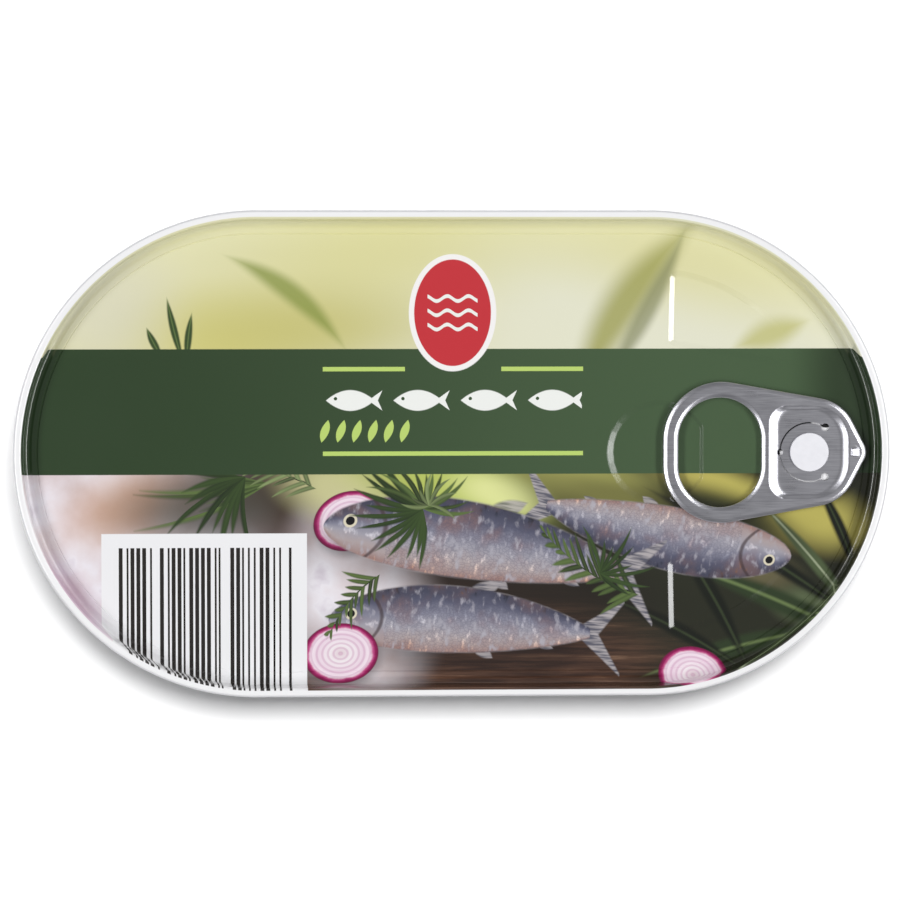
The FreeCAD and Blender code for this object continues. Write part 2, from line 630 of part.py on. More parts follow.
vents = new_sketch(tab, "vent_outlines")
VENTS = [("sizes.vent_x", "sizes.vent_y", "sizes.vent_dia"),
         ("sizes.vent_x", "-sizes.vent_y", "sizes.vent_dia"),
         ("-sizes.vent_back_x", "0", "sizes.vent_back_dia")]
for i, (px, py, dia) in enumerate(VENTS):
    vx, vy, vd = value_of(px), value_of(py), value_of(dia)
    vents.addGeometry(Part.Circle(vec(vx, vy), FreeCAD.Vector(0, 0, 1), vd / 2))
    hold(vents, "Diameter", (i,), dia, vd)
    hold(vents, "DistanceX", (-1, 1, i, 3), px, vx)
    if vy:
        hold(vents, "DistanceY", (-1, 1, i, 3), py, vy)
    else:
        hold(vents, "PointOnObject", (i, 3, -1))
pocket(tab, vents, "sizes.tab_plate_thickness", "vents", upward=True)

# Short stiffening rib on the nose.
rib = new_sketch(tab, "nose_rib_outline", TOP_LEVEL + " - sizes.nose_rib_root")
rounded_box(rib, "(sizes.tab_nose_reach - sizes.nose_rib_length - sizes.tab_edge_round)",
            "(sizes.tab_nose_reach - sizes.tab_edge_round)", "sizes.nose_rib_width / 2",
            "sizes.nose_rib_round", "sizes.nose_rib_round")
pad(tab, rib, "sizes.nose_rib_height + sizes.nose_rib_root", "nose_rib")
tab.setExpression("Placement.Base.x", "sizes.rivet_x")
tab.setExpression("Placement.Base.z", "sizes.panel_level + sizes.rivet_collar_height")

# ---------------------------------------------------------------- check and write
doc.recompute()
for item in doc.Objects:
    if "Invalid" in item.State or "Error" in item.State:
        raise ValueError("failed: " + item.Name)
    if item.TypeId == "Sketcher::SketchObject" and not item.FullyConstrained:
        raise ValueError("sketch is loose: " + item.Name)
os.makedirs("parts", exist_ok=True)
for body in (tray, lid, rivet, tab):
    shape = body.Shape
    if shape.isNull() or not shape.isValid() or len(shape.Solids) != 1:
        raise ValueError("bad solid: " + body.Label)
    box = shape.BoundBox
    print(body.Label, "volume %.1f" % shape.Volume, "x %.2f..%.2f y %.2f..%.2f z %.2f..%.2f" % (
        box.XMin, box.XMax, box.YMin, box.YMax, box.ZMin, box.ZMax))
    shape.exportStep("parts/%s.step" % body.Label)
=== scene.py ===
import bmesh
import bpy
import math
from mathutils import Matrix, Vector


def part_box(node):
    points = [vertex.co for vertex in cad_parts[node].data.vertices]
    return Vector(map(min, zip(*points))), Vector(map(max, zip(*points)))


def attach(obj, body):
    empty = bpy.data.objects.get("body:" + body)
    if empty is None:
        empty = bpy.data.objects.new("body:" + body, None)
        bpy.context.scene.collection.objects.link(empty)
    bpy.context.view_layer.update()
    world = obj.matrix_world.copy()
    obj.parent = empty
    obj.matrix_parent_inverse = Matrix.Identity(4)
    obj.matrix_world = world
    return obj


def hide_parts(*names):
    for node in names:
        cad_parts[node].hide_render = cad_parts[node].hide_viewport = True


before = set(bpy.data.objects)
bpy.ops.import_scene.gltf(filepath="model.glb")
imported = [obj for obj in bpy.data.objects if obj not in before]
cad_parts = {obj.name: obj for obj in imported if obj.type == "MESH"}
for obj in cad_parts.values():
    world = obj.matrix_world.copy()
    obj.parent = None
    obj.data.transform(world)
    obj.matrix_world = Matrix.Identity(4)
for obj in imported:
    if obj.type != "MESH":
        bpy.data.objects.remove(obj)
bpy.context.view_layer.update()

MM = 0.001

# ---------------- sizes, in millimetres
lid_low, lid_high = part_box("lid")
_, tray_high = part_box("tin_body")
rivet_low, rivet_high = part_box("rivet")
tab_low, tab_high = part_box("pull_tab")

END_RADIUS = lid_high.y / MM
HALF_RUN = (lid_high.x - lid_high.y) / MM
TIN_TOP = lid_high.z / MM
LID_UNDERSIDE = lid_low.z / MM
RIVET_X = (rivet_low.x + rivet_high.x) / 2 / MM
RIVET_RADIUS = (rivet_high.x - rivet_low.x) / 2 / MM
PANEL_LEVEL = rivet_low.z / MM
RIVET_TOP = rivet_high.z / MM
TAB_LOW = tab_low.z / MM
RING_END = tab_low.x / MM - RIVET_X
NOSE_END = tab_high.x / MM - RIVET_X
TRAY_TOP = tray_high.z / MM

SEAM_LOW = TIN_TOP - 3.0
SEAM_SPLIT = SEAM_LOW + 1.0
SEAM_THICKNESS = 1.5
CROWN_ROUND = 0.6
SINK_LEVEL = PANEL_LEVEL - 0.12
PANEL_INSET = 2.9
SCORE_INSET = 3.8
PRINT_FLAT = SCORE_INSET - 0.2
RIM_INSET = 0.95
FOOT_RISE = 1.0
BEAD_LEVEL = 0.45
TAB_TOP = TAB_LOW + 1.15
TAB_MIDDLE = (TAB_LOW + TAB_TOP) / 2
HAIR = 0.0005
ROUND_SIDES = 144


# ---------------- modelling helpers
def edit_all():
    """Go to edit mode with everything selected."""
    bpy.ops.object.mode_set(mode="EDIT")
    bpy.ops.mesh.select_all(action="SELECT")


def stop_editing():
    bpy.ops.object.mode_set(mode="OBJECT")


def rest_tools():
    """Back to object mode with nothing selected."""
    if bpy.context.object and bpy.context.object.mode != "OBJECT":
        stop_editing()
    bpy.ops.object.select_all(action="DESELECT")


def take(*pieces):
    """Select only these pieces and make the first one active."""
    rest_tools()
    for piece in pieces:
        piece.select_set(True)
    bpy.context.view_layer.objects.active = pieces[0]


def pick(piece, kind, test):
    """In edit mode, select only the faces, edges or verts whose place passes the test."""
    bpy.ops.mesh.select_mode(type=kind)
    mesh = bmesh.from_edit_mesh(piece.data)
    for group in (mesh.verts, mesh.edges, mesh.faces):
        for item in group:
            item.select = False
    chosen = {"VERT": mesh.verts, "EDGE": mesh.edges, "FACE": mesh.faces}[kind]
    for item in chosen:
        if test(item):
            item.select_set(True)
    mesh.select_flush_mode()
    bmesh.update_edit_mesh(piece.data)


def settle(piece):
    """Put the piece's place into its mesh, so that its object sits unturned at the origin."""
    take(piece)
    bpy.ops.object.transform_apply(location=True, rotation=True, scale=True)
    return piece


def disc(name, sides, radius, x, y, z):
    rest_tools()
    bpy.ops.mesh.primitive_circle_add(vertices=sides, radius=radius * MM, fill_type="NGON",
                                      location=(x * MM, y * MM, z * MM),
                                      rotation=(0, 0, math.pi / sides))
    piece = bpy.context.object
    piece.name = name
    return settle(piece)


def cylinder(sides, radius, height, x, y, z):
    rest_tools()
    bpy.ops.mesh.primitive_cylinder_add(vertices=sides, radius=radius * MM, depth=height * MM,
                                        location=(x * MM, y * MM, z * MM))
    return settle(bpy.context.object)


def racetrack(name, sides, radius, half_run, z, x=0.0, across=False):
    """A disc whose two halves are moved apart."""
    piece = disc(name, sides, radius, x, 0, z)
    bpy.ops.object.mode_set(mode="EDIT")
    axis = 1 if across else 0
    middle = 0.0 if across else x * MM
    for side in (1, -1):
        pick(piece, "VERT", lambda v: (v.co[axis] - middle) * side > 0)
        shift = (0, side * half_run * MM, 0) if across else (side * half_run * MM, 0, 0)
        bpy.ops.transform.translate(value=shift)
    bpy.ops.mesh.select_mode(type="FACE")
    bpy.ops.mesh.select_all(action="SELECT")
    return piece


def sink_in(steps):
    """Inset the selected face step by step: each step is (inwards, along the face's normal)."""
    for inwards, along in steps:
        bpy.ops.mesh.inset(thickness=max(inwards, HAIR) * MM, depth=along * MM, use_even_offset=True,
                           use_boundary=True)


def rounded_path(corners, segments=6):
    """Points along a profile of (inset, level, radius) corners, each rounded by its radius."""
    path = []
    for i, (x, z, radius) in enumerate(corners):
        here = Vector((x, z))
        if radius <= 0 or i in (0, len(corners) - 1):
            path.append(here)
            continue
        before = (Vector(corners[i - 1][:2]) - here).normalized()
        after = (Vector(corners[i + 1][:2]) - here).normalized()
        half = before.angle(after) / 2
        reach = radius / math.tan(half)
        center = here + (before + after).normalized() * (radius / math.sin(half))
        start = here + before * reach - center
        turn = math.pi - 2 * half
        if before.x * after.y - before.y * after.x > 0:
            turn = -turn
        for k in range(segments + 1):
            angle = turn * k / segments
            spoke = Vector((start.x * math.cos(angle) - start.y * math.sin(angle),
                            start.x * math.sin(angle) + start.y * math.cos(angle)))
            path.append(center + spoke)
    return path


def steps_along(path, up=1):
    return [(b.x - a.x, (b.y - a.y) * up) for a, b in zip(path, path[1:])]


def hull_plate(name, rounds, z, sides=96):
    """Flat plate whose outline is stretched round several discs, each (x, y, radius)."""
    pins = [cylinder(sides, radius, 0.4, x, y, z - 0.2) for x, y, radius in rounds]
    take(*pins)
    if len(pins) > 1:
        bpy.ops.object.join()
    piece = bpy.context.object
    piece.name = name
    edit_all()
    bpy.ops.mesh.convex_hull()
    bpy.ops.mesh.select_all(action="SELECT")
    bpy.ops.mesh.remove_doubles(threshold=0.002 * MM)
    bpy.ops.mesh.dissolve_limited(angle_limit=math.radians(0.2))
    pick(piece, "FACE", lambda f: f.normal.z < 0.9)
    bpy.ops.mesh.delete(type="FACE")
    pick(piece, "FACE", lambda f: True)
    return piece


def join(*pieces):
    take(*pieces)
    bpy.ops.object.join()
    return bpy.context.object


def fill_between(piece, z):
    """Close the flat area between the open loops that lie at one level."""
    take(piece)
    bpy.ops.object.mode_set(mode="EDIT")
    pick(piece, "EDGE", lambda e: e.is_boundary and all(abs(v.co.z - z * MM) < 0.004 * MM for v in e.verts))
    bpy.ops.mesh.fill(use_beauty=True)
    stop_editing()


def close_and_face_out(piece):
    take(piece)
    edit_all()
    bpy.ops.mesh.remove_doubles(threshold=0.001 * MM)
    bpy.ops.mesh.normals_make_consistent(inside=False)
    stop_editing()


def finish_piece(piece, node, slot, *materials):
    take(piece)
    bpy.ops.object.shade_smooth_by_angle(angle=math.radians(32.0))
    for material in materials:
        piece.data.materials.append(material)
    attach(piece, "root")
    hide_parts(node)


# ---------------- tray
def model_tray():
    """Drawn tray: rim inside the seam, wall leaning in to a rounded base, foot, recess and bead."""
    tray = racetrack("tray", ROUND_SIDES, END_RADIUS - RIM_INSET, HALF_RUN, SEAM_LOW)
    rim_top = TRAY_TOP - 0.1
    sink_in([(0.0, rim_top - SEAM_LOW), (0.28, 0.0), (0.01, LID_UNDERSIDE - 0.05 - rim_top)])
    stop_editing()
    wall = racetrack("tray_wall", ROUND_SIDES, END_RADIUS - RIM_INSET, HALF_RUN, SEAM_LOW)
    bpy.ops.mesh.flip_normals()
    profile = rounded_path([(0.0, SEAM_LOW, 0), (1.3, 0.0, 3.0), (6.8, 0.0, 0.45), (7.1, FOOT_RISE, 0.45),
                            (12.6, FOOT_RISE, 0.3), (13.0, BEAD_LEVEL, 0.3), (15.6, BEAD_LEVEL, 0.3),
                            (16.0, FOOT_RISE, 0.3), (17.0, FOOT_RISE, 0)])
    sink_in(steps_along(profile, up=-1))
    stop_editing()
    tray = join(tray, wall)
    close_and_face_out(tray)
    return tray


# ---------------- lid
# corners from the seam's outer side over its crown, down the wall and up on to the panel
LID_PROFILE = [(0.0, SEAM_SPLIT, 0), (0.0, TIN_TOP, CROWN_ROUND), (SEAM_THICKNESS, TIN_TOP, 0.55),
               (SEAM_THICKNESS + 0.3, SINK_LEVEL, 0.6), (PANEL_INSET - 0.3, SINK_LEVEL, 0.25),
               (PANEL_INSET + 0.1, PANEL_LEVEL, 0.3), (PRINT_FLAT, PANEL_LEVEL, 0)]
LID_PATH = rounded_path(LID_PROFILE)
SCORE_STEPS = [(0.1, 0.0), (0.1, 0.0), (0.09, -0.1), (0.07, 0.0), (0.09, 0.1), (0.12, 0.0)]
WELL_RADIUS = 9.0
WELL_X = RIVET_X - 25.7
WELL_FLAT_X = RIVET_X - 17.9
WELL_CORNER = 1.6
WELL_STEPS = [(0.06, -0.01), (0.06, -0.02)] + [(0.13, -0.052)] * 6 + [(0.06, -0.02), (0.06, -0.01)]
WING_ARC = 29.9
WING_LEFT = RIVET_X - 24.25
WING_LOW = 17.8
WING_ROUND = 1.6
WING_STEPS = [(0.1, 0.0), (0.06, 0.008), (0.06, 0.018)] + [(0.15, 0.066)] * 6
WING_STEPS += [(0.06, 0.018), (0.06, 0.008), (0.1, 0.0)]
WING_TIP = HALF_RUN + 26.7
WING_FADE = ((11.0, 0.75), (8.0, 0.65), (5.5, 0.5), (3.5, 0.0))
SEAT_STEPS = [(0.06, 0.02), (0.06, 0.04), (0.5, 0.36), (0.06, 0.04), (0.06, 0.02), (0.06, 0.0)]


def model_panel():
    """Seam, wall, panel and score line, open inside the score."""
    panel = racetrack("lid_skin", ROUND_SIDES, END_RADIUS, HALF_RUN, SEAM_SPLIT)
    sink_in(steps_along(LID_PATH))
    sink_in(SCORE_STEPS)
    bpy.ops.mesh.delete(type="FACE")
    stop_editing()
    return panel


def model_hem():
    """The seam's lower roll and the lid's underside."""
    hem = racetrack("lid_hem", ROUND_SIDES, END_RADIUS, HALF_RUN, SEAM_SPLIT)
    bpy.ops.mesh.flip_normals()
    under = rounded_path([(0.0, SEAM_SPLIT, 0), (0.0, SEAM_LOW, 0.4), (1.3, SEAM_LOW, 0)])
    sink_in(steps_along(under, up=-1))
    sink_in([(0.0, SEAM_LOW - LID_UNDERSIDE)])
    stop_editing()
    return hem


def model_well():
    """Finger well: round, but straight on the rivet's side, where its slope is also narrower."""
    arm = WELL_RADIUS - WELL_CORNER
    flat = WELL_FLAT_X - WELL_CORNER - WELL_X
    turn = math.atan2(math.sqrt(arm ** 2 - flat ** 2), flat)
    steps = 24
    angles = [turn + 2 * (math.pi - turn) * k / steps for k in range(steps + 1)]
    pins = [(WELL_X + arm * math.cos(a), arm * math.sin(a), WELL_CORNER) for a in angles]
    well = hull_plate("well", pins, PANEL_LEVEL, sides=48)
    sink_in([(0.1, 0.0)])
    for inwards, along in WELL_STEPS:
        sink_in([(inwards, along)])
        bpy.ops.transform.translate(value=(0.5 * inwards * MM, 0, 0))
    sink_in([(0.2, 0.0)])
    stop_editing()
    return well


def model_wing(side):
    """Embossed wing beside the tab: an even slope all round, fading out at the tip."""
    turns = [math.radians(a) for a in range(32, 81, 3)]
    pins = [(WING_LEFT + WING_ROUND, side * (WING_LOW + WING_ROUND), WING_ROUND)]
    pins += [(HALF_RUN + WING_ARC * math.cos(a), side * WING_ARC * math.sin(a), WING_ROUND) for a in turns]
    wing = hull_plate("wing", pins, PANEL_LEVEL, sides=32)
    sink_in(WING_STEPS)
    for start, share in WING_FADE:
        pick(wing, "VERT", lambda v: v.co.x > (WING_TIP - start) * MM)
        bpy.ops.transform.resize(value=(1, 1, share), center_override=(0, 0, PANEL_LEVEL * MM))
    stop_editing()
    return wing


def model_seat():
    """Raised seat under the tab's plate, seen through its vents and lance cut."""
    seat = hull_plate("seat", [(RIVET_X + 0.35, 0, 6.0)], PANEL_LEVEL)
    sink_in(SEAT_STEPS)
    stop_editing()
    return seat


def model_lid():
    panel = model_panel()
    hem = model_hem()
    well = model_well()
    wings = [model_wing(side) for side in (1, -1)]
    lid = join(panel, well, model_seat(), *wings)
    fill_between(lid, PANEL_LEVEL)
    lid = join(lid, hem)
    close_and_face_out(lid)
    lid.name = "lid_skin"
    return lid


def part_by_print(lid):
    """Cut the lid's faces along the print's band, and number them lower, band and upper."""
    cuts = (BAND_LOW + 1.6, BAND_TOP - 2.1)
    take(lid)
    bpy.ops.object.mode_set(mode="EDIT")
    for cut in cuts:
        bpy.ops.mesh.select_all(action="SELECT")
        bpy.ops.mesh.bisect(plane_co=(0, cut * MM, 0), plane_no=(0, 1, 0))
    stop_editing()
    for face in lid.data.polygons:
        face.material_index = sum(face.center.y > cut * MM for cut in cuts)


def map_print(lid):
    """UV map holding where each spot lay on the flat printed sheet before the lid was pressed."""
    lengths = [0.0]
    for a, b in zip(LID_PATH, LID_PATH[1:]):
        lengths.append(lengths[-1] + (b - a).length)
    total = lengths[-1]
    outward = [(point, total - length) for point, length in zip(LID_PATH, lengths)]
    places = []
    for vertex in lid.data.vertices:
        x, y, z = vertex.co / MM
        middle = max(-HALF_RUN, min(HALF_RUN, x))
        spoke = Vector((x - middle, y))
        inset = END_RADIUS - spoke.length
        if inset >= PRINT_FLAT or z < PANEL_LEVEL - 1.0:
            places.append((x, y))
            continue
        if z < SEAM_SPLIT and inset < SEAM_THICKNESS - 0.1:
            run = total + (SEAM_SPLIT - z) + inset
        else:
            run = min(outward, key=lambda item: (item[0] - Vector((inset, z))).length)[1]
        spot = spoke.normalized() * (END_RADIUS - PRINT_FLAT + run)
        places.append((middle + spot.x, spot.y))
    sheet = lid.data.uv_layers.new(name="flat_sheet")
    for loop in lid.data.loops:
        sheet.data[loop.index].uv = places[loop.vertex_index]


# ---------------- rivet
def model_rivet():
    """Button with a rounded, slightly hollow top, and its shank down to the panel."""
    split = RIVET_TOP - 0.2
    button = disc("rivet_button", 96, RIVET_RADIUS - 0.02, RIVET_X, 0, split)
    edit_all()
    sink_in(steps_along(rounded_path([(0.0, 0.0, 0), (0.0, 0.19, 0.16), (0.5, 0.2, 0)])))
    sink_in([(0.5, 0.0), (0.3, -0.015), (0.3, -0.01), (0.7, -0.005), (0.5, 0.0)])
    stop_editing()
    shank = disc("rivet_shank", 96, RIVET_RADIUS - 0.02, RIVET_X, 0, split)
    edit_all()
    bpy.ops.mesh.flip_normals()
    sink_in([(0.0, 0.12), (0.08, 0.08), (RIVET_RADIUS - 1.85, 0.0), (0.0, split - 0.2 - PANEL_LEVEL - 0.02)])
    stop_editing()
    rivet = join(button, shank)
    close_and_face_out(rivet)
    return rivet


# ---------------- ring-pull
TAB_SLOPE = math.radians(10.1)
RING_ROUND = 9.9
RING_CENTER = (RING_END + RING_ROUND, 2.1)
SHOULDER_ROUND = 7.3
SHOULDER_X = 0.86
NOSE_ROUND = 2.6
HOLE_X = RIVET_X - 15.25
HOLE_RADIUS = 7.1
HOLE_HALF_RUN = 2.2

# the curled edge's roundness, and before it the upright edge that makes up the height
CURL = [(0.02, 0.07), (0.04, 0.05), (0.17, 0.079), (0.17, 0.072), (0.16, 0.062), (0.13, 0.04), (0.1, 0.014),
        (0.1, 0.002)]
CURL.insert(0, (0.0, TAB_TOP - TAB_MIDDLE - sum(up for _, up in CURL)))
CURL_WIDTH = sum(inwards for inwards, _ in CURL)

# the dish's wall from its outline inwards: share of its width, depth, and level on the ring's side
DISH = [(0, 0, 0), (0.03, 0, 0.005), (0.07, 0, 0.01), (0.13, 0.015, 0), (0.19, 0.06, -0.033),
        (0.23, 0.095, -0.06), (0.27, 0.13, -0.087), (0.31, 0.165, -0.114), (0.37, 0.22, -0.155),
        (0.49, 0.325, -0.237), (0.61, 0.42, -0.319), (0.73, 0.448, -0.395), (0.85, 0.45, -0.438),
        (0.93, 0.45, -0.448), (0.98, 0.45, -0.45), (1.03, 0.45, -0.45), (1.07, 0.45, -0.45)]
DISH_X = RIVET_X - 0.1
DISH_LONG = 7.1
DISH_HIGH = 8.0
DISH_WALL_LONG = 2.2
DISH_WALL_HIGH = 1.2
DISH_ROUNDS = ((-1, 3.0), (1, 6.2))
# from each place along X on, how much of the ring side's form the wall has
DISH_FADE = [(-99.0, 1.0), (-7.0, 1.0), (-5.6, 0.85), (-5.1, 0.6), (-4.6, 0.35), (-4.0, 0.15), (-3.4, 0.0)]
LANCE_OPEN_HALF = math.radians(57.0)
CUT_HEIGHT = 2.4
# the three vents at the lance cut, and the rivet's hole
TAB_HOLES = ((2.72, 4.2, 0.68), (2.72, -4.2, 0.68), (-4.95, 0, 0.55), (0, 0, 1.75))


def tab_outline():
    """Discs that the outline is stretched round: ring, shoulders and nose."""
    cx, cy = RING_CENTER
    tx = cx + RING_ROUND * math.sin(TAB_SLOPE)
    ty = cy + RING_ROUND * math.cos(TAB_SLOPE)
    sx = SHOULDER_X + SHOULDER_ROUND * math.sin(TAB_SLOPE)
    sy = ty - (sx - tx) * math.tan(TAB_SLOPE) - SHOULDER_ROUND * math.cos(TAB_SLOPE)
    rounds = [(cx, cy, RING_ROUND), (cx, -cy, RING_ROUND), (SHOULDER_X, sy, SHOULDER_ROUND),
              (SHOULDER_X, -sy, SHOULDER_ROUND), (NOSE_END - NOSE_ROUND, 0.0, NOSE_ROUND)]
    return [(RIVET_X + x, y, r - 0.01) for x, y, r in rounds]


def shrink_to(center, before, after, drop):
    """Inset the selected face and scale it from one half-size to the next, dropping it as it goes."""
    bpy.ops.mesh.inset(thickness=HAIR * MM, depth=0, use_even_offset=True, use_boundary=True)
    bpy.ops.transform.resize(value=(after[0] / before[0], after[1] / before[1], 1), center_override=center)
    bpy.ops.transform.translate(value=(0, 0, drop * MM))


def model_dish():
    """Dish round the rivet: a wide wall down to the plate, gentler on the ring's side."""
    rounds = [(DISH_X + end * (DISH_LONG - corner), side * (DISH_HIGH - corner), corner)
              for end, corner in DISH_ROUNDS for side in (1, -1)]
    dish = hull_plate("tab_dish", rounds, TAB_TOP)
    center = (DISH_X * MM, 0, TAB_TOP * MM)
    sizes = [(DISH_LONG - DISH_WALL_LONG * share, DISH_HIGH - DISH_WALL_HIGH * share) for share, _, _ in DISH]
    # each ring is first set a little deeper than the last, so that it can be told apart
    mark = 0.002
    for before, after in zip(sizes, sizes[1:]):
        shrink_to(center, before, after, -mark)
    zones = list(zip(DISH_FADE, [start for start, _ in DISH_FADE[1:]] + [99.0]))
    for k, (_, depth, ring_level) in enumerate(DISH):
        level = TAB_TOP - mark * k
        for (start, share), end in zones:
            low, high = (DISH_X + start) * MM, (DISH_X + end) * MM
            pick(dish, "VERT", lambda v: low <= v.co.x < high and abs(v.co.z - level * MM) < mark / 3 * MM)
            move = mark * k - depth + share * (ring_level + depth)
            if abs(move) > 1e-6:
                bpy.ops.transform.translate(value=(0, 0, move * MM))
    stop_editing()
    return dish


def model_rib():
    """Pinched rib on the nose: a rounded bar that slopes down to the tip."""
    rest_tools()
    place = Vector((RIVET_X + 8.2, 0, TAB_TOP - 0.3)) * MM
    bpy.ops.mesh.primitive_cube_add(size=1, location=place, rotation=(0, math.radians(17.0), 0),
                                    scale=(2.4 * MM, 1.5 * MM, 0.75 * MM))
    rib = settle(bpy.context.object)
    edit_all()
    bpy.ops.mesh.bevel(offset=0.28 * MM, segments=5, affect="EDGES")
    stop_editing()
    return rib


def combine(piece, tools, operation):
    """Join tools to a piece or cut them from it, one after another, and drop them."""
    for tool in tools:
        take(piece)
        change = piece.modifiers.new("change", "BOOLEAN")
        change.operation = operation
        change.solver = "EXACT"
        change.object = tool
        bpy.ops.object.modifier_apply(modifier="change")
        bpy.data.objects.remove(tool)


def model_half_tab():
    """The tab's upper half: curled outline, curled finger hole and dish, with flats between."""
    outline = hull_plate("tab", tab_outline(), TAB_MIDDLE)
    sink_in(CURL)
    bpy.ops.mesh.delete(type="FACE")
    stop_editing()
    hole = racetrack("tab_hole", 96, HOLE_RADIUS + CURL_WIDTH, HOLE_HALF_RUN, TAB_TOP, x=HOLE_X, across=True)
    sink_in([(inwards, -up) for inwards, up in reversed(CURL)])
    bpy.ops.mesh.delete(type="FACE")
    stop_editing()
    half = join(outline, hole, model_dish())
    fill_between(half, TAB_TOP)
    return half


def model_lance():
    """C-shaped cutter for the lance cut, spun round the rivet from a short upright line."""
    rest_tools()
    bpy.ops.mesh.primitive_plane_add(size=1, location=(RIVET_X * MM, 0, TAB_MIDDLE * MM))
    lance = settle(bpy.context.object)
    bpy.ops.object.mode_set(mode="EDIT")
    pick(lance, "VERT", lambda v: v.co.x < RIVET_X * MM)
    bpy.ops.mesh.delete(type="VERT")
    mesh = bmesh.from_edit_mesh(lance.data)
    mesh.verts.ensure_lookup_table()
    for vertex, radius in zip(mesh.verts, (4.88, 5.12)):
        vertex.co = Vector((RIVET_X + radius * math.cos(LANCE_OPEN_HALF), radius * math.sin(LANCE_OPEN_HALF),
                            TAB_MIDDLE - CUT_HEIGHT / 2)) * MM
    bmesh.update_edit_mesh(lance.data)
    bpy.ops.mesh.select_all(action="SELECT")
    bpy.ops.mesh.spin(steps=72, angle=2 * LANCE_OPEN_HALF - 2 * math.pi, center=(RIVET_X * MM, 0, 0),
                      axis=(0, 0, 1))
    bpy.ops.mesh.select_mode(type="FACE")
    bpy.ops.mesh.select_all(action="SELECT")
    bpy.ops.mesh.extrude_region_move(TRANSFORM_OT_translate={"value": (0, 0, CUT_HEIGHT * MM)})
    bpy.ops.mesh.select_all(action="SELECT")
    bpy.ops.mesh.normals_make_consistent(inside=False)
    stop_editing()
    return lance


def model_tab():
    tab = model_half_tab()
    # the underside is the same form turned over
    take(tab)
    bpy.ops.object.duplicate()
    under = bpy.context.object
    edit_all()
    bpy.ops.transform.resize(value=(1, 1, -1), center_override=(0, 0, TAB_MIDDLE * MM))
    stop_editing()
    tab = join(tab, under)
    close_and_face_out(tab)
    combine(tab, [model_rib()], "UNION")
    holes = [cylinder(32, radius, CUT_HEIGHT, RIVET_X + x, y, TAB_MIDDLE) for x, y, radius in TAB_HOLES]
    combine(tab, [model_lance()] + holes, "DIFFERENCE")
    tab.name = "ring_pull"
    return tab


# ---------------- node helpers
class Value:
    """A number that a socket carries; plain arithmetic on it adds the nodes that work it out."""

    def __init__(self, nodes, socket):
        self.nodes = nodes
        self.socket = socket

    def __rsub__(self, other):
        return self.nodes.math("SUBTRACT", other, self)

    def __abs__(self):
        return self.nodes.math("ABSOLUTE", self)


def math_node(operation):
    return lambda value, other: value.nodes.math(operation, value, other)


for sign, operation in (("add", "ADD"), ("radd", "ADD"), ("sub", "SUBTRACT"), ("mul", "MULTIPLY"),
                        ("rmul", "MULTIPLY"), ("truediv", "DIVIDE"), ("pow", "POWER"), ("gt", "GREATER_THAN"),
                        ("lt", "LESS_THAN")):
    setattr(Value, f"__{sign}__", math_node(operation))


class Nodes:
    """Short hand for wiring one node tree."""

    def __init__(self, tree):
        self.tree = tree

    def add(self, kind, values=(), **settings):
        node = self.tree.nodes.new(kind)
        for key, value in settings.items():
            setattr(node, key, value)
        for i, value in enumerate(values):
            if value is not None:
                self.feed(node.inputs[i], value)
        return node

    def feed(self, socket, value):
        if isinstance(value, Value):
            value = value.socket
        if isinstance(value, bpy.types.NodeSocket):
            self.tree.links.new(value, socket)
        elif socket.type == "RGBA" and len(value) == 3:
            socket.default_value = (*value, 1)
        else:
            socket.default_value = value

    def value(self, kind, values=(), output=0, **settings):
        """One output of a new node, as a value."""
        return Value(self, self.add(kind, values, **settings).outputs[output])

    def parts(self, kind, whole):
        """The three values of a place or colour that a node separates."""
        return [Value(self, output) for output in self.add(kind, (whole,)).outputs]

    def math(self, operation, *values, clamp=False):
        return self.value("ShaderNodeMath", values, operation=operation, use_clamp=clamp)

    def mix(self, amount, under, over):
        node = self.add("ShaderNodeMix", data_type="RGBA")
        self.feed(node.inputs["Factor"], amount)
        self.feed(node.inputs[6], under)
        self.feed(node.inputs[7], over)
        return node.outputs[2]

    def ramp(self, value, start, end, smooth=True):
        """Value that goes from one (position, value) pair to the other and stays there."""
        kind = "SMOOTHSTEP" if smooth else "LINEAR"
        ends = (value, start[0], end[0], start[1], end[1])
        return self.value("ShaderNodeMapRange", ends, interpolation_type=kind)

    def rise(self, value, low, high):
        return self.ramp(value, (low, 0.0), (high, 1.0))

    def fall(self, value, low, high):
        return self.ramp(value, (low, 1.0), (high, 0.0))

    def colors(self, value, stops):
        node = self.add("ShaderNodeValToRGB", (value,))
        points = node.color_ramp.elements
        while len(points) < len(stops):
            points.new(0.5)
        for point, (position, color) in zip(points, stops):
            point.position = position
            point.color = (*color, 1)
        return node.outputs[0]

    def stretched(self, place, stretch, turn=0.0):
        return self.add("ShaderNodeMapping", (place, None, (0, 0, turn), stretch)).outputs[0]

    def noise(self, place, scale, detail=2.0, roughness=0.5, stretch=None, turn=0.0):
        """Noise on a place; stretch gives the scale along each axis instead of one for all."""
        if stretch:
            place = self.stretched(place, stretch, turn)
        node = self.add("ShaderNodeTexNoise", (place,))
        node.inputs["Scale"].default_value = scale
        node.inputs["Detail"].default_value = detail
        node.inputs["Roughness"].default_value = roughness
        return Value(self, node.outputs[0])

    def group(self, name, **values):
        """Place a group and set or link its inputs by name, written with _ for a space."""
        node = self.add("ShaderNodeGroup", node_tree=bpy.data.node_groups[name])
        for key, value in values.items():
            self.feed(node.inputs[key.replace("_", " ")], value)
        return {output.name: Value(self, output) for output in node.outputs}


def srgb(r, g, b):
    """Colour as the eye names it, 0 to 255, in the linear values that nodes take."""
    return tuple(((c / 255 + 0.055) / 1.055) ** 2.4 if c > 10 else c / 255 / 12.92 for c in (r, g, b))


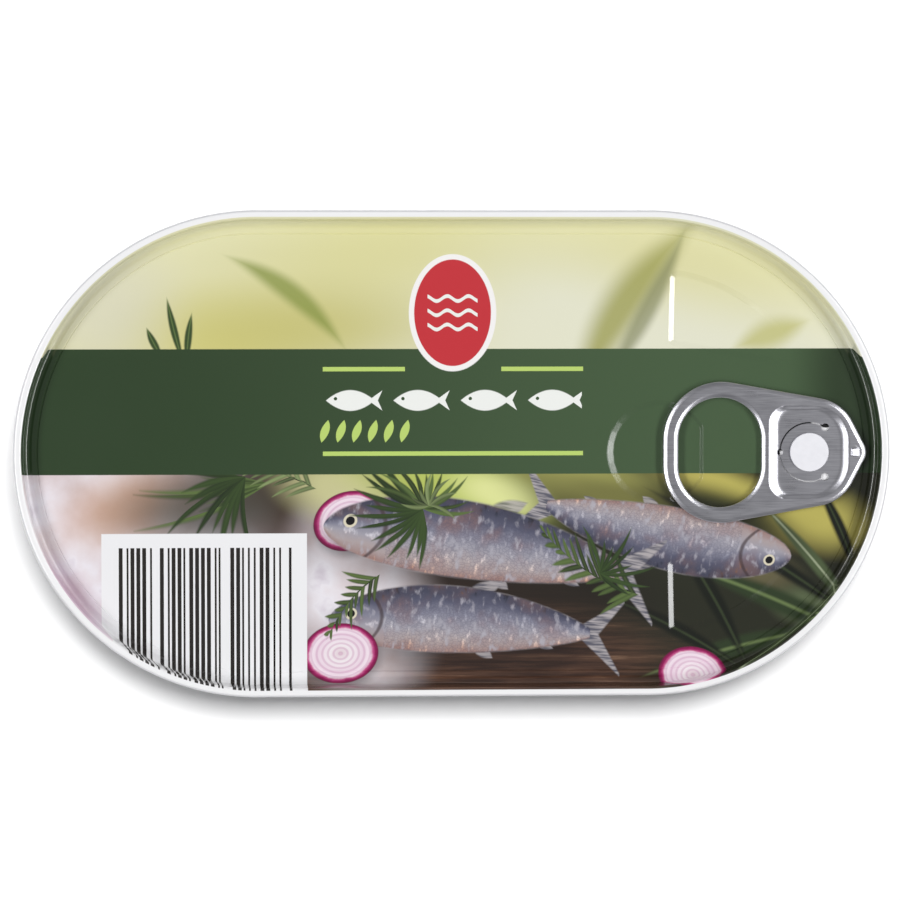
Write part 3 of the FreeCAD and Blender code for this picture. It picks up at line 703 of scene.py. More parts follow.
def empty_nodes(owner):
    owner.use_nodes = True
    owner.node_tree.nodes.clear()
    return Nodes(owner.node_tree)


def new_material(name, metallic=0.0):
    material = bpy.data.materials.new(name)
    nodes = empty_nodes(material)
    shader = nodes.add("ShaderNodeBsdfPrincipled")
    shader.inputs["Metallic"].default_value = metallic
    nodes.add("ShaderNodeOutputMaterial", (shader.outputs[0],))
    return material, nodes, shader


def new_group(name, inputs, outputs):
    """Empty node group; inputs are (name, default), outputs are names, and Color is a colour."""
    tree = bpy.data.node_groups.new(name, "ShaderNodeTree")
    for label, default in inputs:
        kind = "NodeSocketVector" if isinstance(default, tuple) else "NodeSocketFloat"
        tree.interface.new_socket(name=label, in_out="INPUT", socket_type=kind).default_value = default
    for label in outputs:
        kind = "NodeSocketColor" if label == "Color" else "NodeSocketFloat"
        tree.interface.new_socket(name=label, in_out="OUTPUT", socket_type=kind)
    nodes = Nodes(tree)
    given = nodes.add("NodeGroupInput").outputs
    given = {label: Value(nodes, given[label]) for label, _ in inputs}
    return nodes, given, nodes.add("NodeGroupOutput").inputs


def length_of(u, v):
    return u.nodes.math("SQRT", u * u + v * v)


# ---------------- printed shapes
# Most shapes read a spot on the flat sheet, in millimetres, as two plain values; MAPPED ones as a place.
PATCH_SPOT = [("X", 0.0), ("Y", 0.0), ("Place X", 0.0), ("Place Y", 0.0), ("Long", 1.0), ("Wide", 1.0)]
SPOT = PATCH_SPOT + [("Turn", 0.0)]
MAPPED = [("Sheet", (0.0, 0.0, 0.0)), ("Place", (0.0, 0.0, 0.0)), ("Turn", (0.0, 0.0, 0.0)),
          ("Size", (1.0, 1.0, 1.0))]


def make_local_place():
    nodes, given, out = new_group("Local place", SPOT, ["U", "V"])
    dx = given["X"] - given["Place X"]
    dy = given["Y"] - given["Place Y"]
    cosine = nodes.math("COSINE", given["Turn"])
    sine = nodes.math("SINE", given["Turn"])
    nodes.feed(out["U"], (dx * cosine + dy * sine) / given["Long"])
    nodes.feed(out["V"], (dy * cosine - dx * sine) / given["Wide"])


def local_place(nodes, given):
    """Place a Local place group on a shape group's own inputs."""
    names = {label.replace(" ", "_"): given[label] for label, _ in SPOT}
    return nodes.group("Local place", **names).values()


def mapped_place(nodes, given):
    """A shape's own place as a vector for textures, and its two values."""
    values = (given["Sheet"], given["Place"], given["Turn"], given["Size"])
    local = nodes.add("ShaderNodeMapping", values, vector_type="TEXTURE").outputs[0]
    u, v, _ = nodes.parts("ShaderNodeSeparateXYZ", local)
    return local, u, v


def make_oval():
    nodes, given, out = new_group("Print oval", SPOT + [("Softness", 0.1)], ["Mask"])
    soft = given["Softness"]
    reach = length_of(*local_place(nodes, given))
    nodes.feed(out["Mask"], nodes.fall(reach, 1.0 - soft, 1.0 + soft))


def make_leaf():
    """Blade pointed at both ends, with a midrib."""
    nodes, given, out = new_group("Print leaf", SPOT + [("Bend", 0.0), ("Softness", 0.1)], ["Mask", "Rib"])
    soft = given["Softness"]
    u, v = local_place(nodes, given)
    square = u * u
    side = abs(square * given["Bend"] + v)
    nodes.feed(out["Mask"], nodes.rise(1.0 - square - side, soft * -1.0, soft))
    nodes.feed(out["Rib"], nodes.fall(side, 0.0, 0.3))


def make_patch():
    """Straight-edged patch."""
    nodes, given, out = new_group("Print patch", PATCH_SPOT + [("Softness", 0.06)], ["Mask"])
    gaps = []
    for axis, half in (("X", "Long"), ("Y", "Wide")):
        away = abs(given[axis] - given["Place " + axis])
        gaps.append(nodes.math("MAXIMUM", away - given[half], 0.0))
    nodes.feed(out["Mask"], nodes.ramp(length_of(*gaps), (0.0, 1.0), (given["Softness"], 0.0), smooth=False))


def needle_mask(nodes, across, share, thickness, softness):
    """Needle seen across, tapering to a point where share reaches 1."""
    taper = 1.0 - nodes.math("MINIMUM", share, 1.0) ** 3.0
    return nodes.rise(taper * thickness - across, softness * -0.5, softness) * (taper > 0.05)


def needle_lots(nodes, cell, seed):
    """Three random values for each needle."""
    lots = nodes.add("ShaderNodeTexWhiteNoise", noise_dimensions="1D")
    nodes.feed(lots.inputs["W"], nodes.math("MULTIPLY_ADD", cell, 1.37, seed))
    return nodes.parts("ShaderNodeSeparateColor", lots.outputs["Color"])


def needle_shade(nodes, across, thickness, lot):
    """Each needle's own shade, lighter along its middle."""
    return nodes.math("ADD", (1.0 - across / thickness) * 0.5, lot * 0.7 - 0.1, clamp=True)


def make_spray():
    """Fan of fine needles from one point, each with its own length, lean and shade."""
    extra = [("Needles", 14.0), ("Spread", 3.0), ("Curl", 0.3), ("Thickness", 0.04), ("Shortest", 0.5),
             ("Seed", 1.0), ("Softness", 0.02)]
    nodes, given, out = new_group("Needle fan", SPOT + extra, ["Mask", "Shade"])
    u, v = local_place(nodes, given)
    radius = length_of(u, v)
    angle = radius * given["Curl"] + nodes.math("ARCTAN2", v, u)
    pitch = given["Spread"] / given["Needles"]
    slot = angle / pitch
    cell = nodes.math("FLOOR", slot + 0.5)
    lot = needle_lots(nodes, cell, given["Seed"])
    across = abs((slot - cell - (lot[0] - 0.5) * 0.7) * pitch * radius)
    length = lot[1] * (1.0 - given["Shortest"]) + given["Shortest"]
    mask = needle_mask(nodes, across, radius / length, given["Thickness"], given["Softness"])
    nodes.feed(out["Mask"], mask * (abs(cell) < given["Needles"] * 0.5))
    nodes.feed(out["Shade"], needle_shade(nodes, across, given["Thickness"], lot[2]))


def make_sprig():
    """Stem along the shape's own X with slanting needles down both sides, shorter towards the tip."""
    extra = [("Needles", 12.0), ("Slant", 1.1), ("Bend", 0.2), ("Reach", 0.4), ("Thickness", 0.02),
             ("Seed", 1.0)]
    nodes, given, out = new_group("Needle sprig", SPOT + extra, ["Mask", "Shade"])
    u, v = local_place(nodes, given)
    v = u * u * given["Bend"] + v
    side = nodes.math("SIGN", v)
    away = abs(v)
    root = u - away * given["Slant"] + away * away * 0.8
    slot = root * given["Needles"] + side * 0.25
    cell = nodes.math("FLOOR", slot + 0.5)
    lot = needle_lots(nodes, side * 40.0 + cell, given["Seed"])
    across = abs(slot - cell - (lot[0] - 0.5) * 0.5) / given["Needles"] * 0.68
    length = (lot[1] * 0.6 + 0.4) * (1.15 - nodes.math("MAXIMUM", root, 0.0)) * given["Reach"]
    mask = needle_mask(nodes, across, away / length, given["Thickness"], 0.012)
    mask = mask * (cell > -0.5) * (cell < given["Needles"])
    stem = nodes.rise((1.1 - u) * 0.014 - away, -0.004, 0.008) * (abs(u - 0.5) < 0.5)
    nodes.feed(out["Mask"], nodes.math("MAXIMUM", mask, stem))
    nodes.feed(out["Shade"], needle_shade(nodes, across, given["Thickness"], lot[2]))


FLANK = [(0.0, srgb(206, 158, 134)), (0.16, srgb(234, 214, 206)), (0.36, srgb(216, 212, 220)),
         (0.55, srgb(168, 168, 184)), (0.74, srgb(96, 98, 118)), (0.88, srgb(48, 52, 66)),
         (1.0, srgb(28, 30, 38))]
# each fin's place, lean and half sizes, as shares of the fish's half length
FINS = ((0.02, 0.20, 0.5, 0.15, 0.055), (0.05, -0.20, -0.55, 0.09, 0.04), (0.45, -0.115, -0.3, 0.09, 0.03))


def soft_edge(nodes, gap):
    return nodes.rise(gap, -0.008, 0.012)


def fish_tail_and_fins(nodes, along, across):
    """Mask of the forked tail and the fins."""
    height = abs(across)
    fan = (along - 0.70) * 0.75 + 0.035
    notch = (along - 0.84) * 1.5
    fins = soft_edge(nodes, fan - height) * nodes.rise(height - notch, -0.01, 0.02)
    fins = fins * (abs(along - 0.85) < 0.15)
    for x, y, lean, long, wide in FINS:
        fin = nodes.group("Print leaf", X=along, Y=across, Place_X=x, Place_Y=y, Turn=lean, Long=long,
                          Wide=wide, Softness=0.2)
        fins = nodes.math("MAXIMUM", fins, fin["Mask"] * 0.85)
    return fins


def fish_flank(nodes, local, along, across, drift, given, body):
    """Dark back, pale flank and warm belly, with scales, glints and a gill."""
    tone = across / nodes.math("MAXIMUM", body, 0.03) * 0.5 + 0.5
    flank = nodes.colors((drift - 0.5) * 0.4 + tone, FLANK)
    warm = nodes.rise(drift, 0.45, 0.7) * given["Warmth"]
    flank = nodes.mix(warm, flank, srgb(206, 148, 116))
    cells = nodes.add("ShaderNodeTexVoronoi", (nodes.stretched(local, (1.0, 1.5, 1.0)),),
                      feature="DISTANCE_TO_EDGE")
    cells.inputs["Scale"].default_value = 40.0
    rows = nodes.ramp(cells.outputs[0], (0.0, 0.3), (0.14, 0.0)) * (along > -0.62)
    flank = nodes.mix(rows, flank, srgb(66, 68, 86))
    glint = nodes.noise(local, 1.3, 4.0, stretch=(15.0, 8.0, 1.0), turn=0.5)
    flank = nodes.mix(nodes.ramp(glint, (0.52, 0.0), (0.72, 0.8)), flank, srgb(244, 240, 248))
    flank = nodes.mix(nodes.ramp(glint, (0.44, 0.55), (0.30, 0.0)), flank, srgb(84, 84, 104))
    gill = abs(across * across * 3.2 + (along + 0.64))
    return nodes.mix(nodes.ramp(gill, (0.004, 0.75), (0.022, 0.0)), flank, srgb(66, 52, 54))


def make_fish():
    """Small silver fish, head towards -X, with an eye, fins and tail."""
    nodes, given, out = new_group("Printed fish", MAPPED + [("Warmth", 0.3), ("Seed", 0.0)],
                                  ["Mask", "Color", "Shadow"])
    local, along, across = mapped_place(nodes, given)
    drift = nodes.add("ShaderNodeTexNoise", (local,), noise_dimensions="4D")
    nodes.feed(drift.inputs["W"], given["Seed"])
    drift.inputs["Scale"].default_value = 5.0
    drift = Value(nodes, drift.outputs[0])
    across = along * along * 0.06 + across
    share = nodes.math("DIVIDE", along + 1.0, 1.78, clamp=True)
    body = share ** 0.55 * (1.0 - share) ** 0.85 * 0.56 + share * 0.03
    in_body = soft_edge(nodes, body - abs(across)) * (abs(along + 0.11) < 0.89)
    fins = fish_tail_and_fins(nodes, along, across)
    flank = fish_flank(nodes, local, along, across, drift, given, body)
    for radius, color in ((0.040, srgb(222, 214, 190)), (0.026, srgb(18, 18, 22))):
        eye = nodes.group("Print oval", X=along, Y=across, Place_X=-0.85, Place_Y=0.035, Long=radius,
                          Wide=radius)
        flank = nodes.mix(eye["Mask"], flank, color)
    rays = nodes.noise(local, 1.0, stretch=(6.0, 60.0, 1.0))
    webs = nodes.mix(nodes.rise(rays, 0.35, 0.65), srgb(92, 92, 104), srgb(176, 170, 172))
    nodes.feed(out["Color"], nodes.mix(in_body, webs, flank))
    nodes.feed(out["Mask"], nodes.math("MAXIMUM", in_body, fins))
    under = nodes.group("Print oval", X=along, Y=across, Place_Y=-0.12, Long=0.95, Wide=0.24, Softness=0.45)
    nodes.feed(out["Shadow"], under["Mask"])


RING_COLORS = [(0.0, srgb(226, 206, 214)), (0.30, srgb(244, 236, 240)), (0.62, srgb(236, 214, 228)),
               (0.80, srgb(246, 232, 240)), (0.865, srgb(196, 84, 140)), (0.92, srgb(150, 26, 88)),
               (1.0, srgb(104, 20, 62))]


def make_slice():
    """Round of a red-skinned onion: bright rim, pale heart with faint rays and rings."""
    nodes, given, out = new_group("Onion round", MAPPED, ["Mask", "Color"])
    local, u, v = mapped_place(nodes, given)
    radius = length_of(u, v)
    rays = nodes.noise(local, 2.2, 3.0, 0.6)
    rings = nodes.math("SINE", radius * 42.0) * 0.5
    color = nodes.colors((rays - 0.5) * 0.14 + radius, RING_COLORS)
    layers = nodes.ramp(rings, (-0.2, 0.0), (0.5, 0.45)) * nodes.fall(radius, 0.8, 0.9)
    nodes.feed(out["Color"], nodes.mix(layers, color, srgb(202, 150, 184)))
    nodes.feed(out["Mask"], nodes.fall(radius, 0.985, 1.02))


def make_specks():
    """Sparse dust specks of uneven size."""
    inputs = [("Spot", (0.0, 0.0, 0.0)), ("Density", 100.0), ("Radius", 0.02), ("Share", 0.3)]
    nodes, given, out = new_group("Dust specks", inputs, ["Mask"])
    cells = nodes.add("ShaderNodeTexVoronoi", (given["Spot"],), feature="F1")
    nodes.feed(cells.inputs["Scale"], given["Density"])
    lot = nodes.parts("ShaderNodeSeparateColor", cells.outputs["Color"])
    size = (lot[1] * 0.8 + 0.2) * given["Radius"]
    near = nodes.fall(Value(nodes, cells.outputs["Distance"]) / size, 0.5, 1.0)
    nodes.feed(out["Mask"], near * (lot[0] < given["Share"]))


for make in (make_local_place, make_oval, make_leaf, make_patch, make_spray, make_sprig, make_fish,
             make_slice, make_specks):
    make()


# ---------------- the print
class Sheet:
    """The printed sheet: colours laid one over another at places in millimetres, turns in degrees."""

    def __init__(self, nodes, place):
        self.nodes = nodes
        self.place = place
        self.x, self.y, _ = nodes.parts("ShaderNodeSeparateXYZ", place)
        self.color = None

    def lay(self, mask, color, strength=1.0):
        if strength != 1.0:
            mask = mask * strength
        self.color = self.nodes.mix(mask, self.color, color)

    def shape(self, kind, x, y, long, wide, turn=0.0, **extra):
        return self.nodes.group(kind, X=self.x, Y=self.y, Place_X=x, Place_Y=y, Turn=math.radians(turn),
                                Long=long, Wide=wide, **extra)

    def mapped(self, kind, x, y, long, wide, turn, **extra):
        """A shape with textures of its own, which need its place as a vector."""
        return self.nodes.group(kind, Sheet=self.place, Place=(x, y, 0), Turn=(0, 0, math.radians(turn)),
                                Size=(long, wide, 1), **extra)

    def block(self, x, y, wide, high, **extra):
        """Mask of a straight-edged patch."""
        return self.nodes.group("Print patch", X=self.x, Y=self.y, Place_X=x, Place_Y=y, Long=wide,
                                Wide=high, **extra)["Mask"]

    def oval(self, x, y, wide, high, color, turn=0.0, soft=0.1, strength=1.0):
        self.lay(self.shape("Print oval", x, y, wide, high, turn, Softness=soft)["Mask"], color, strength)

    def leaf(self, x, y, long, wide, turn, color, rib=None, bend=0.0, soft=0.15, strength=1.0):
        blade = self.shape("Print leaf", x, y, long, wide, turn, Bend=bend, Softness=soft)
        if rib:
            color = self.nodes.mix(blade["Rib"], color, rib)
        self.lay(blade["Mask"], color, strength)

    def patch(self, x, y, wide, high, color):
        self.lay(self.block(x, y, wide, high, Softness=0.08), color)

    def needles(self, kind, x, y, size, turn, count, light, one, two, thickness, seed, **extra):
        name, first, second = kind
        herb = self.shape(name, x, y, size, size, turn, Needles=float(count), Thickness=thickness, Seed=seed,
                          **{first: one, second: two}, **extra)
        self.lay(herb["Mask"], self.nodes.mix(herb["Shade"], LEAF_DARK, light))

    def fish(self, x, y, long, turn, warmth, seed):
        fish = self.mapped("Printed fish", x, y, long, long, turn, Warmth=warmth, Seed=seed)
        self.lay(fish["Shadow"], srgb(30, 22, 20), 0.65)
        self.lay(fish["Mask"], fish["Color"])

    def onion(self, x, y, radius, turn, squash=0.8):
        self.oval(x + 0.4, y - 0.9, radius, radius * squash, srgb(40, 24, 24), turn, 0.2, 0.5)
        cut = self.mapped("Onion round", x, y, radius, radius * squash, turn)
        self.lay(cut["Mask"], cut["Color"])


ENAMEL_WHITE = srgb(243, 243, 244)
BARE_ROUND = 6.2
BAND_TOP = 17.6
BAND_LOW = -3.6
MEDALLION_Y = 23.7
LIME = srgb(188, 214, 114)
CLEAN_WHITE = srgb(240, 242, 238)
LEAF_DARK = srgb(24, 34, 22)
LEAF_MID = srgb(60, 80, 42)
LEAF_OLIVE = srgb(92, 112, 62)
LEAF_LIGHT = srgb(134, 150, 100)

# place, half sizes, colour, turn, softness and strength
GARDEN_HAZE = ((-14, 33, 26, 9, srgb(218, 214, 150), 10, 0.9, 0.8),
               (-40, 18, 15, 7, srgb(210, 204, 118), 0, 0.95, 0.8),
               (40, 33, 26, 7, srgb(222, 218, 160), -12, 0.9, 0.8),
               (-60, 26, 11, 10, srgb(218, 216, 190), -30, 0.8, 0.9),
               (-24, 21, 19, 6, srgb(196, 190, 112), 0, 0.9, 0.75))
# place, half sizes, turn, colour, bend, softness and strength
GARDEN_LEAVES = ((-27, 27, 11, 1.6, -38, srgb(134, 148, 66), 0.9, 0.7, 0.8),
                 (29, 25, 16, 3.2, 56, srgb(164, 164, 92), 0.5, 0.8, 0.9),
                 (33, 24, 13, 1.5, 62, srgb(130, 134, 92), -0.4, 0.7, 0.7),
                 (54, 20, 6, 2.2, 20, srgb(186, 184, 96), 0.0, 0.8, 0.7))
SHOOTS = ((-47.0, 20.8, 5.4, 104), (-44.6, 19.4, 4.2, 84), (-50.4, 18.6, 2.8, 118))
BOARD = [(0.25, srgb(40, 27, 22)), (0.45, srgb(68, 47, 38)), (0.60, srgb(104, 74, 58)),
         (0.78, srgb(178, 140, 112))]
CLOTH = [(0.30, srgb(214, 198, 198)), (0.48, srgb(228, 218, 222)), (0.62, srgb(236, 232, 238)),
         (0.75, srgb(204, 194, 206))]
GARDEN_BLUR = ((-19, -6, 9, 5, srgb(206, 204, 150)), (-1, -5, 15, 5.5, srgb(190, 204, 104)),
               (25, -6, 14, 4.0, srgb(196, 196, 110)), (8, -7, 7, 3.0, srgb(228, 232, 160)),
               (61, -11, 9, 4.5, srgb(196, 186, 98)), (45, -5.5, 9, 2.6, srgb(196, 186, 98)),
               (45, -10.2, 10, 3.4, srgb(52, 60, 34)), (52, -20, 6, 3, srgb(104, 98, 70)),
               (62, -27, 6, 3, srgb(104, 118, 84)))
# place, half sizes, turn and which of the tones; each tone is a blade colour and a rib colour
DARK_LEAVES = ((52, -17, 20, 1.4, -32, 0), (57, -26, 17, 1.8, -24, 1), (62, -19, 13, 1.1, -50, 2),
               (49, -33, 16, 1.7, 14, 1), (58, -32, 12, 1.3, 40, 2), (44, -24, 13, 1.4, -60, 0),
               (66, -13, 9, 1.0, -66, 0), (38, -30, 12, 1.3, -28, 0))
LEAF_TONES = ((srgb(22, 26, 18), srgb(52, 62, 40)), (srgb(46, 60, 36), srgb(104, 122, 76)),
              (srgb(78, 92, 62), srgb(156, 166, 136)))
# a kind of herb is its group's name and the names of two inputs of its own
FAN = ("Needle fan", "Spread", "Curl")
SPRIG = ("Needle sprig", "Bend", "Reach")
# kind, place, size, turn, number of needles, colour, the kind's two inputs, thickness and seed
HERBS = ((FAN, -35, -4, 18, 215, 9, LEAF_MID, 1.7, -0.3, 0.045, 13.0),
         (SPRIG, -24, -5.5, 15, 152, 9, LEAF_LIGHT, -0.3, 0.34, 0.028, 9.0),
         (FAN, -5, -9.5, 13.5, 210, 13, LEAF_MID, 2.6, 0.2, 0.055, 4.0),
         (FAN, -5, -9.5, 11, 60, 11, LEAF_OLIVE, 3.0, -0.4, 0.05, 8.0),
         (FAN, -4, -9, 6.5, 100, 8, LEAF_LIGHT, 4.4, 0.5, 0.07, 15.0),
         (SPRIG, 31, -24, 19, 164, 11, LEAF_OLIVE, 0.35, 0.34, 0.026, 5.0),
         (FAN, 25, -20.5, 10, 20, 9, LEAF_MID, 2.8, -0.3, 0.05, 6.0),
         (SPRIG, -13, -21, 13, 215, 9, LEAF_OLIVE, -0.3, 0.38, 0.03, 7.0))


def print_upper_field(sheet):
    """Out-of-focus garden colours above the band."""
    nodes = sheet.nodes
    sheet.color = nodes.mix(nodes.rise(sheet.x, -50.0, 30.0), srgb(226, 224, 186), srgb(229, 229, 206))
    for haze in GARDEN_HAZE:
        sheet.oval(*haze)
    for x, y, long, wide, turn, color, bend, soft, strength in GARDEN_LEAVES:
        sheet.leaf(x, y, long, wide, turn, color, None, bend, soft, strength)
    for x, y, long, turn in SHOOTS:
        sheet.leaf(x, y, long, 0.62, turn, srgb(58, 78, 44), srgb(96, 116, 66), 0.25, 0.3)


def print_lower_field(sheet):
    """Small silver fish on a board, with dill, onion rounds and dark leaves."""
    nodes = sheet.nodes
    sheet.color = nodes.mix(nodes.rise(sheet.x, -30.0, 34.0), srgb(74, 54, 48), srgb(40, 42, 30))
    board = nodes.colors(nodes.noise(sheet.place, 1.4, 6.0, 0.6, (0.035, 0.55, 1.0), 0.12), BOARD)
    cloth = nodes.colors(nodes.noise(sheet.place, 0.12, 4.0), CLOTH)
    sheet.oval(-2, -38, 38, 13, board, 0, 0.35)
    sheet.oval(-66, -20, 30, 24, cloth, 0, 0.35)
    sheet.oval(-55, -9, 9, 5, srgb(206, 160, 128), 20, 0.8, 0.8)
    sheet.oval(-41, -9, 14, 6, srgb(60, 58, 46), 6, 0.7, 0.85)
    sheet.oval(-16, -25, 11, 16, cloth, 8, 0.45)
    for blur in GARDEN_BLUR:
        sheet.oval(*blur, -16, 0.7, 0.9)
    for x, y, long, wide, turn, tone in DARK_LEAVES:
        sheet.leaf(x, y, long, wide, turn, *LEAF_TONES[tone], 0.5, 0.4)
    sheet.onion(-17.5, -11.5, 6.2, 20)
    sheet.onion(41, -38, 6.0, -15)
    sheet.oval(-67, -26, 5, 9, srgb(196, 158, 184), 38, 0.6, 0.7)
    sheet.fish(34, -14, 24, 167, 0.35, 7.0)
    sheet.fish(7, -15.5, 29, -10, 0.5, 2.0)
    sheet.fish(4, -28.5, 25, -4, 0.35, 11.0)
    sheet.onion(-19, -34, 6.4, 5)
    sheet.needles(FAN, -31, -5, 31, 192, 9, LEAF_OLIVE, 0.8, 0.25, 0.026, 2.0, Shortest=0.35)
    for herb in HERBS:
        sheet.needles(*herb)


def print_stripe_block(sheet):
    """White block with a run of plain random stripes."""
    nodes = sheet.nodes
    sheet.patch(-42.0, -40, 17.3, 26.4, srgb(240, 240, 242))
    lots = nodes.add("ShaderNodeTexWhiteNoise", noise_dimensions="1D")
    stroke = nodes.math("FLOOR", sheet.x / 0.33)
    nodes.feed(lots.inputs["W"], stroke * 1.37)
    third = nodes.math("WRAP", stroke, 3.0, 0.0)
    bar = Value(nodes, lots.outputs["Value"]) > (third > 1.5) * 0.7 + 0.36
    sheet.lay(bar * sheet.block(-41.9, -40.0, 14.6, 24.0), srgb(38, 34, 32))


def half_width(x, y, long, wide):
    """How far inside a pointed oval of the given half sizes a spot lies, as a share of its width."""
    u = x / long
    return 1.0 - u * u - abs(y) / wide


def print_fish_row(sheet):
    """Row of plain fish shapes, each drawn once and repeated."""
    nodes = sheet.nodes
    pitch, middle = 11.4, 8.9
    x = nodes.math("WRAP", sheet.x + 5.9, pitch / 2, -pitch / 2)
    y = sheet.y - middle
    body = nodes.rise(half_width(x, y, 4.1, 1.75), -0.06, 0.06)
    back = x - 3.4
    tail = nodes.rise(back * 0.72 + 0.25 - abs(y), -0.05, 0.05)
    notch = abs(y) * 0.45 + (1.25 - back)
    tail = tail * nodes.rise(notch, -0.05, 0.05) * (back > 0.0)
    eye = nodes.rise(length_of(x + 2.5, y - 0.3), 0.26, 0.32)
    fish = nodes.math("MAXIMUM", body, tail) * eye
    sheet.lay(fish * sheet.block(0.0, middle, 21.9, 2.4), CLEAN_WHITE)


def print_leaf_row(sheet):
    """Shorter row of small leaves."""
    nodes = sheet.nodes
    middle = 3.7
    y = sheet.y - middle
    x = y * -0.3 + nodes.math("WRAP", sheet.x, 1.35, -1.35)
    leaf = nodes.rise(half_width(y, x, 1.9, 0.72), -0.08, 0.08)
    sheet.lay(leaf * sheet.block(-14.85, middle, 8.1, 2.2), LIME)


def print_green(sheet, edge=None, side=1):
    """Dark green of the band, on the given side of one of its edges, or all over."""
    nodes = sheet.nodes
    green = nodes.mix(nodes.rise(sheet.x, -60.0, 50.0), srgb(46, 66, 40), srgb(71, 93, 64))
    green = nodes.mix(nodes.rise(sheet.x, 56.0, 66.0), green, srgb(46, 62, 40))
    if edge is None:
        sheet.color = green
    else:
        sheet.lay(nodes.ramp(sheet.y, (edge - 0.05 * side, 0.0), (edge + 0.05 * side, 1.0), False), green)


def print_medallion(sheet):
    """Plain red oval with a white edge and wavy white lines."""
    nodes = sheet.nodes
    sheet.oval(0.0, MEDALLION_Y, 7.4, 9.9, srgb(246, 244, 243), soft=0.01)
    sheet.oval(0.0, MEDALLION_Y, 6.5, 9.0, srgb(198, 52, 60), soft=0.01)
    wave = nodes.math("SINE", sheet.x * 1.75) * 0.42 + sheet.y
    row = abs(nodes.math("WRAP", wave, MEDALLION_Y + 1.2, MEDALLION_Y - 1.2) - MEDALLION_Y)
    line = nodes.ramp(row, (0.26, 1.0), (0.36, 0.0), False)
    sheet.lay(line * sheet.block(0.0, MEDALLION_Y, 4.2, 3.55), CLEAN_WHITE)


def print_bare_round(sheet):
    """Round left white about the rivet."""
    sheet.oval(RIVET_X, 0, BARE_ROUND, BARE_ROUND, ENAMEL_WHITE, soft=0.01)


def print_upper(sheet):
    print_upper_field(sheet)
    print_green(sheet, BAND_TOP, -1)
    print_medallion(sheet)


def print_band(sheet):
    """Dark green band with lime rules, rows of small shapes and the shade under the tab's openings."""
    print_green(sheet)
    for x, y, half in ((-15.0, 14.2, 6.9), (15.2, 14.2, 6.9), (0.1, -0.1, 22.0)):
        sheet.patch(x, y, half, 0.33, LIME)
    print_fish_row(sheet)
    print_leaf_row(sheet)
    print_medallion(sheet)
    print_bare_round(sheet)
    sheet.oval(RIVET_X - 3.0, 3.4, 4.6, 1.8, srgb(40, 40, 44), 42, 0.1)
    sheet.oval(RIVET_X + 2.85, 4.75, 0.95, 0.62, srgb(22, 22, 24), soft=0.12)
    sheet.oval(RIVET_X - 5.3, 0.05, 0.42, 0.75, srgb(40, 40, 44), soft=0.15)


def print_lower(sheet):
    print_lower_field(sheet)
    print_stripe_block(sheet)
    print_green(sheet, BAND_LOW)
    print_bare_round(sheet)


# ---------------- materials
def sheet_run(inset):
    """Distance along the sheet from the panel's flat out to a spot on the seam's inner side."""
    path = list(reversed(LID_PATH))
    run = 0.0
    for a, b in zip(path, path[1:]):
        if b.x < inset:
            return run
        run += (b - a).length
    return run


def add_bump(nodes, shader, height, strength, distance):
    bump = nodes.add("ShaderNodeBump")
    bump.inputs["Strength"].default_value = strength
    bump.inputs["Distance"].default_value = distance
    nodes.feed(bump.inputs["Height"], height)
    nodes.feed(shader.inputs["Normal"], bump.outputs[0])


def gloss(nodes, shader, spot, low, high):
    """Uneven varnish: smeared roughness and a faint orange-peel bump."""
    smear = nodes.noise(spot, 45.0, 5.0)
    nodes.feed(shader.inputs["Roughness"], nodes.ramp(smear, (0.3, low), (0.7, high)))
    add_bump(nodes, shader, nodes.noise(spot, 700.0, 2.0), 0.06, 0.00005)


def bare_seam(nodes, sheet):
    """The print's colour, ending in white enamel on the seam's inner side, further in round the ends."""
    beyond = sheet.x - nodes.math("MINIMUM", nodes.math("MAXIMUM", sheet.x, -HALF_RUN), HALF_RUN)
    reach = length_of(beyond, sheet.y)
    endways = abs(beyond / reach) ** 1.5
    panel = END_RADIUS - PRINT_FLAT
    stop = endways * (sheet_run(1.3) - sheet_run(1.1)) + (panel + sheet_run(1.1))
    bare = nodes.ramp(reach - stop, (-0.05, 0.0), (0.05, 1.0), False)
    color = nodes.mix(bare, sheet.color, ENAMEL_WHITE)
    # painted shade: a grey line is painted on the enamel along the crown's outer edge, where the crown turns
    # outwards and gets little light
    crown_shade_gap = abs(reach - (panel + sheet_run(0.25) + 0.3))
    return nodes.mix(nodes.ramp(crown_shade_gap, (0.2, 0.6), (0.4, 0.0)), color, srgb(178, 178, 184))


def lid_material(name, draw):
    """Gloss-varnished print over a white base coat, which is left bare on the seam."""
    material, nodes, shader = new_material(name)
    place = nodes.add("ShaderNodeUVMap", uv_map="flat_sheet").outputs[0]
    solid = nodes.add("ShaderNodeTexCoord").outputs["Object"]
    sheet = Sheet(nodes, place)
    draw(sheet)
    color = bare_seam(nodes, sheet)
    specks = nodes.group("Dust specks", Spot=solid, Density=160.0, Radius=0.028, Share=0.12)
    color = nodes.mix(specks["Mask"] * 0.8, color, srgb(226, 224, 218))
    nodes.feed(shader.inputs["Base Color"], color)
    shader.inputs["IOR"].default_value = 1.7
    gloss(nodes, shader, solid, 0.12, 0.20)
    return material


def rivet_material():
    """White enamel with a few worn specks."""
    material, nodes, shader = new_material("rivet_enamel")
    solid = nodes.add("ShaderNodeTexCoord").outputs["Object"]
    cloud = nodes.noise(solid, 900.0, 4.0)
    color = nodes.mix(nodes.rise(cloud, 0.35, 0.7), srgb(236, 236, 241), srgb(232, 232, 237))
    specks = nodes.group("Dust specks", Spot=solid, Density=900.0, Radius=0.05, Share=0.08)
    nodes.feed(shader.inputs["Base Color"], nodes.mix(specks["Mask"], color, srgb(150, 150, 154)))
    gloss(nodes, shader, solid, 0.28, 0.40)
    return material


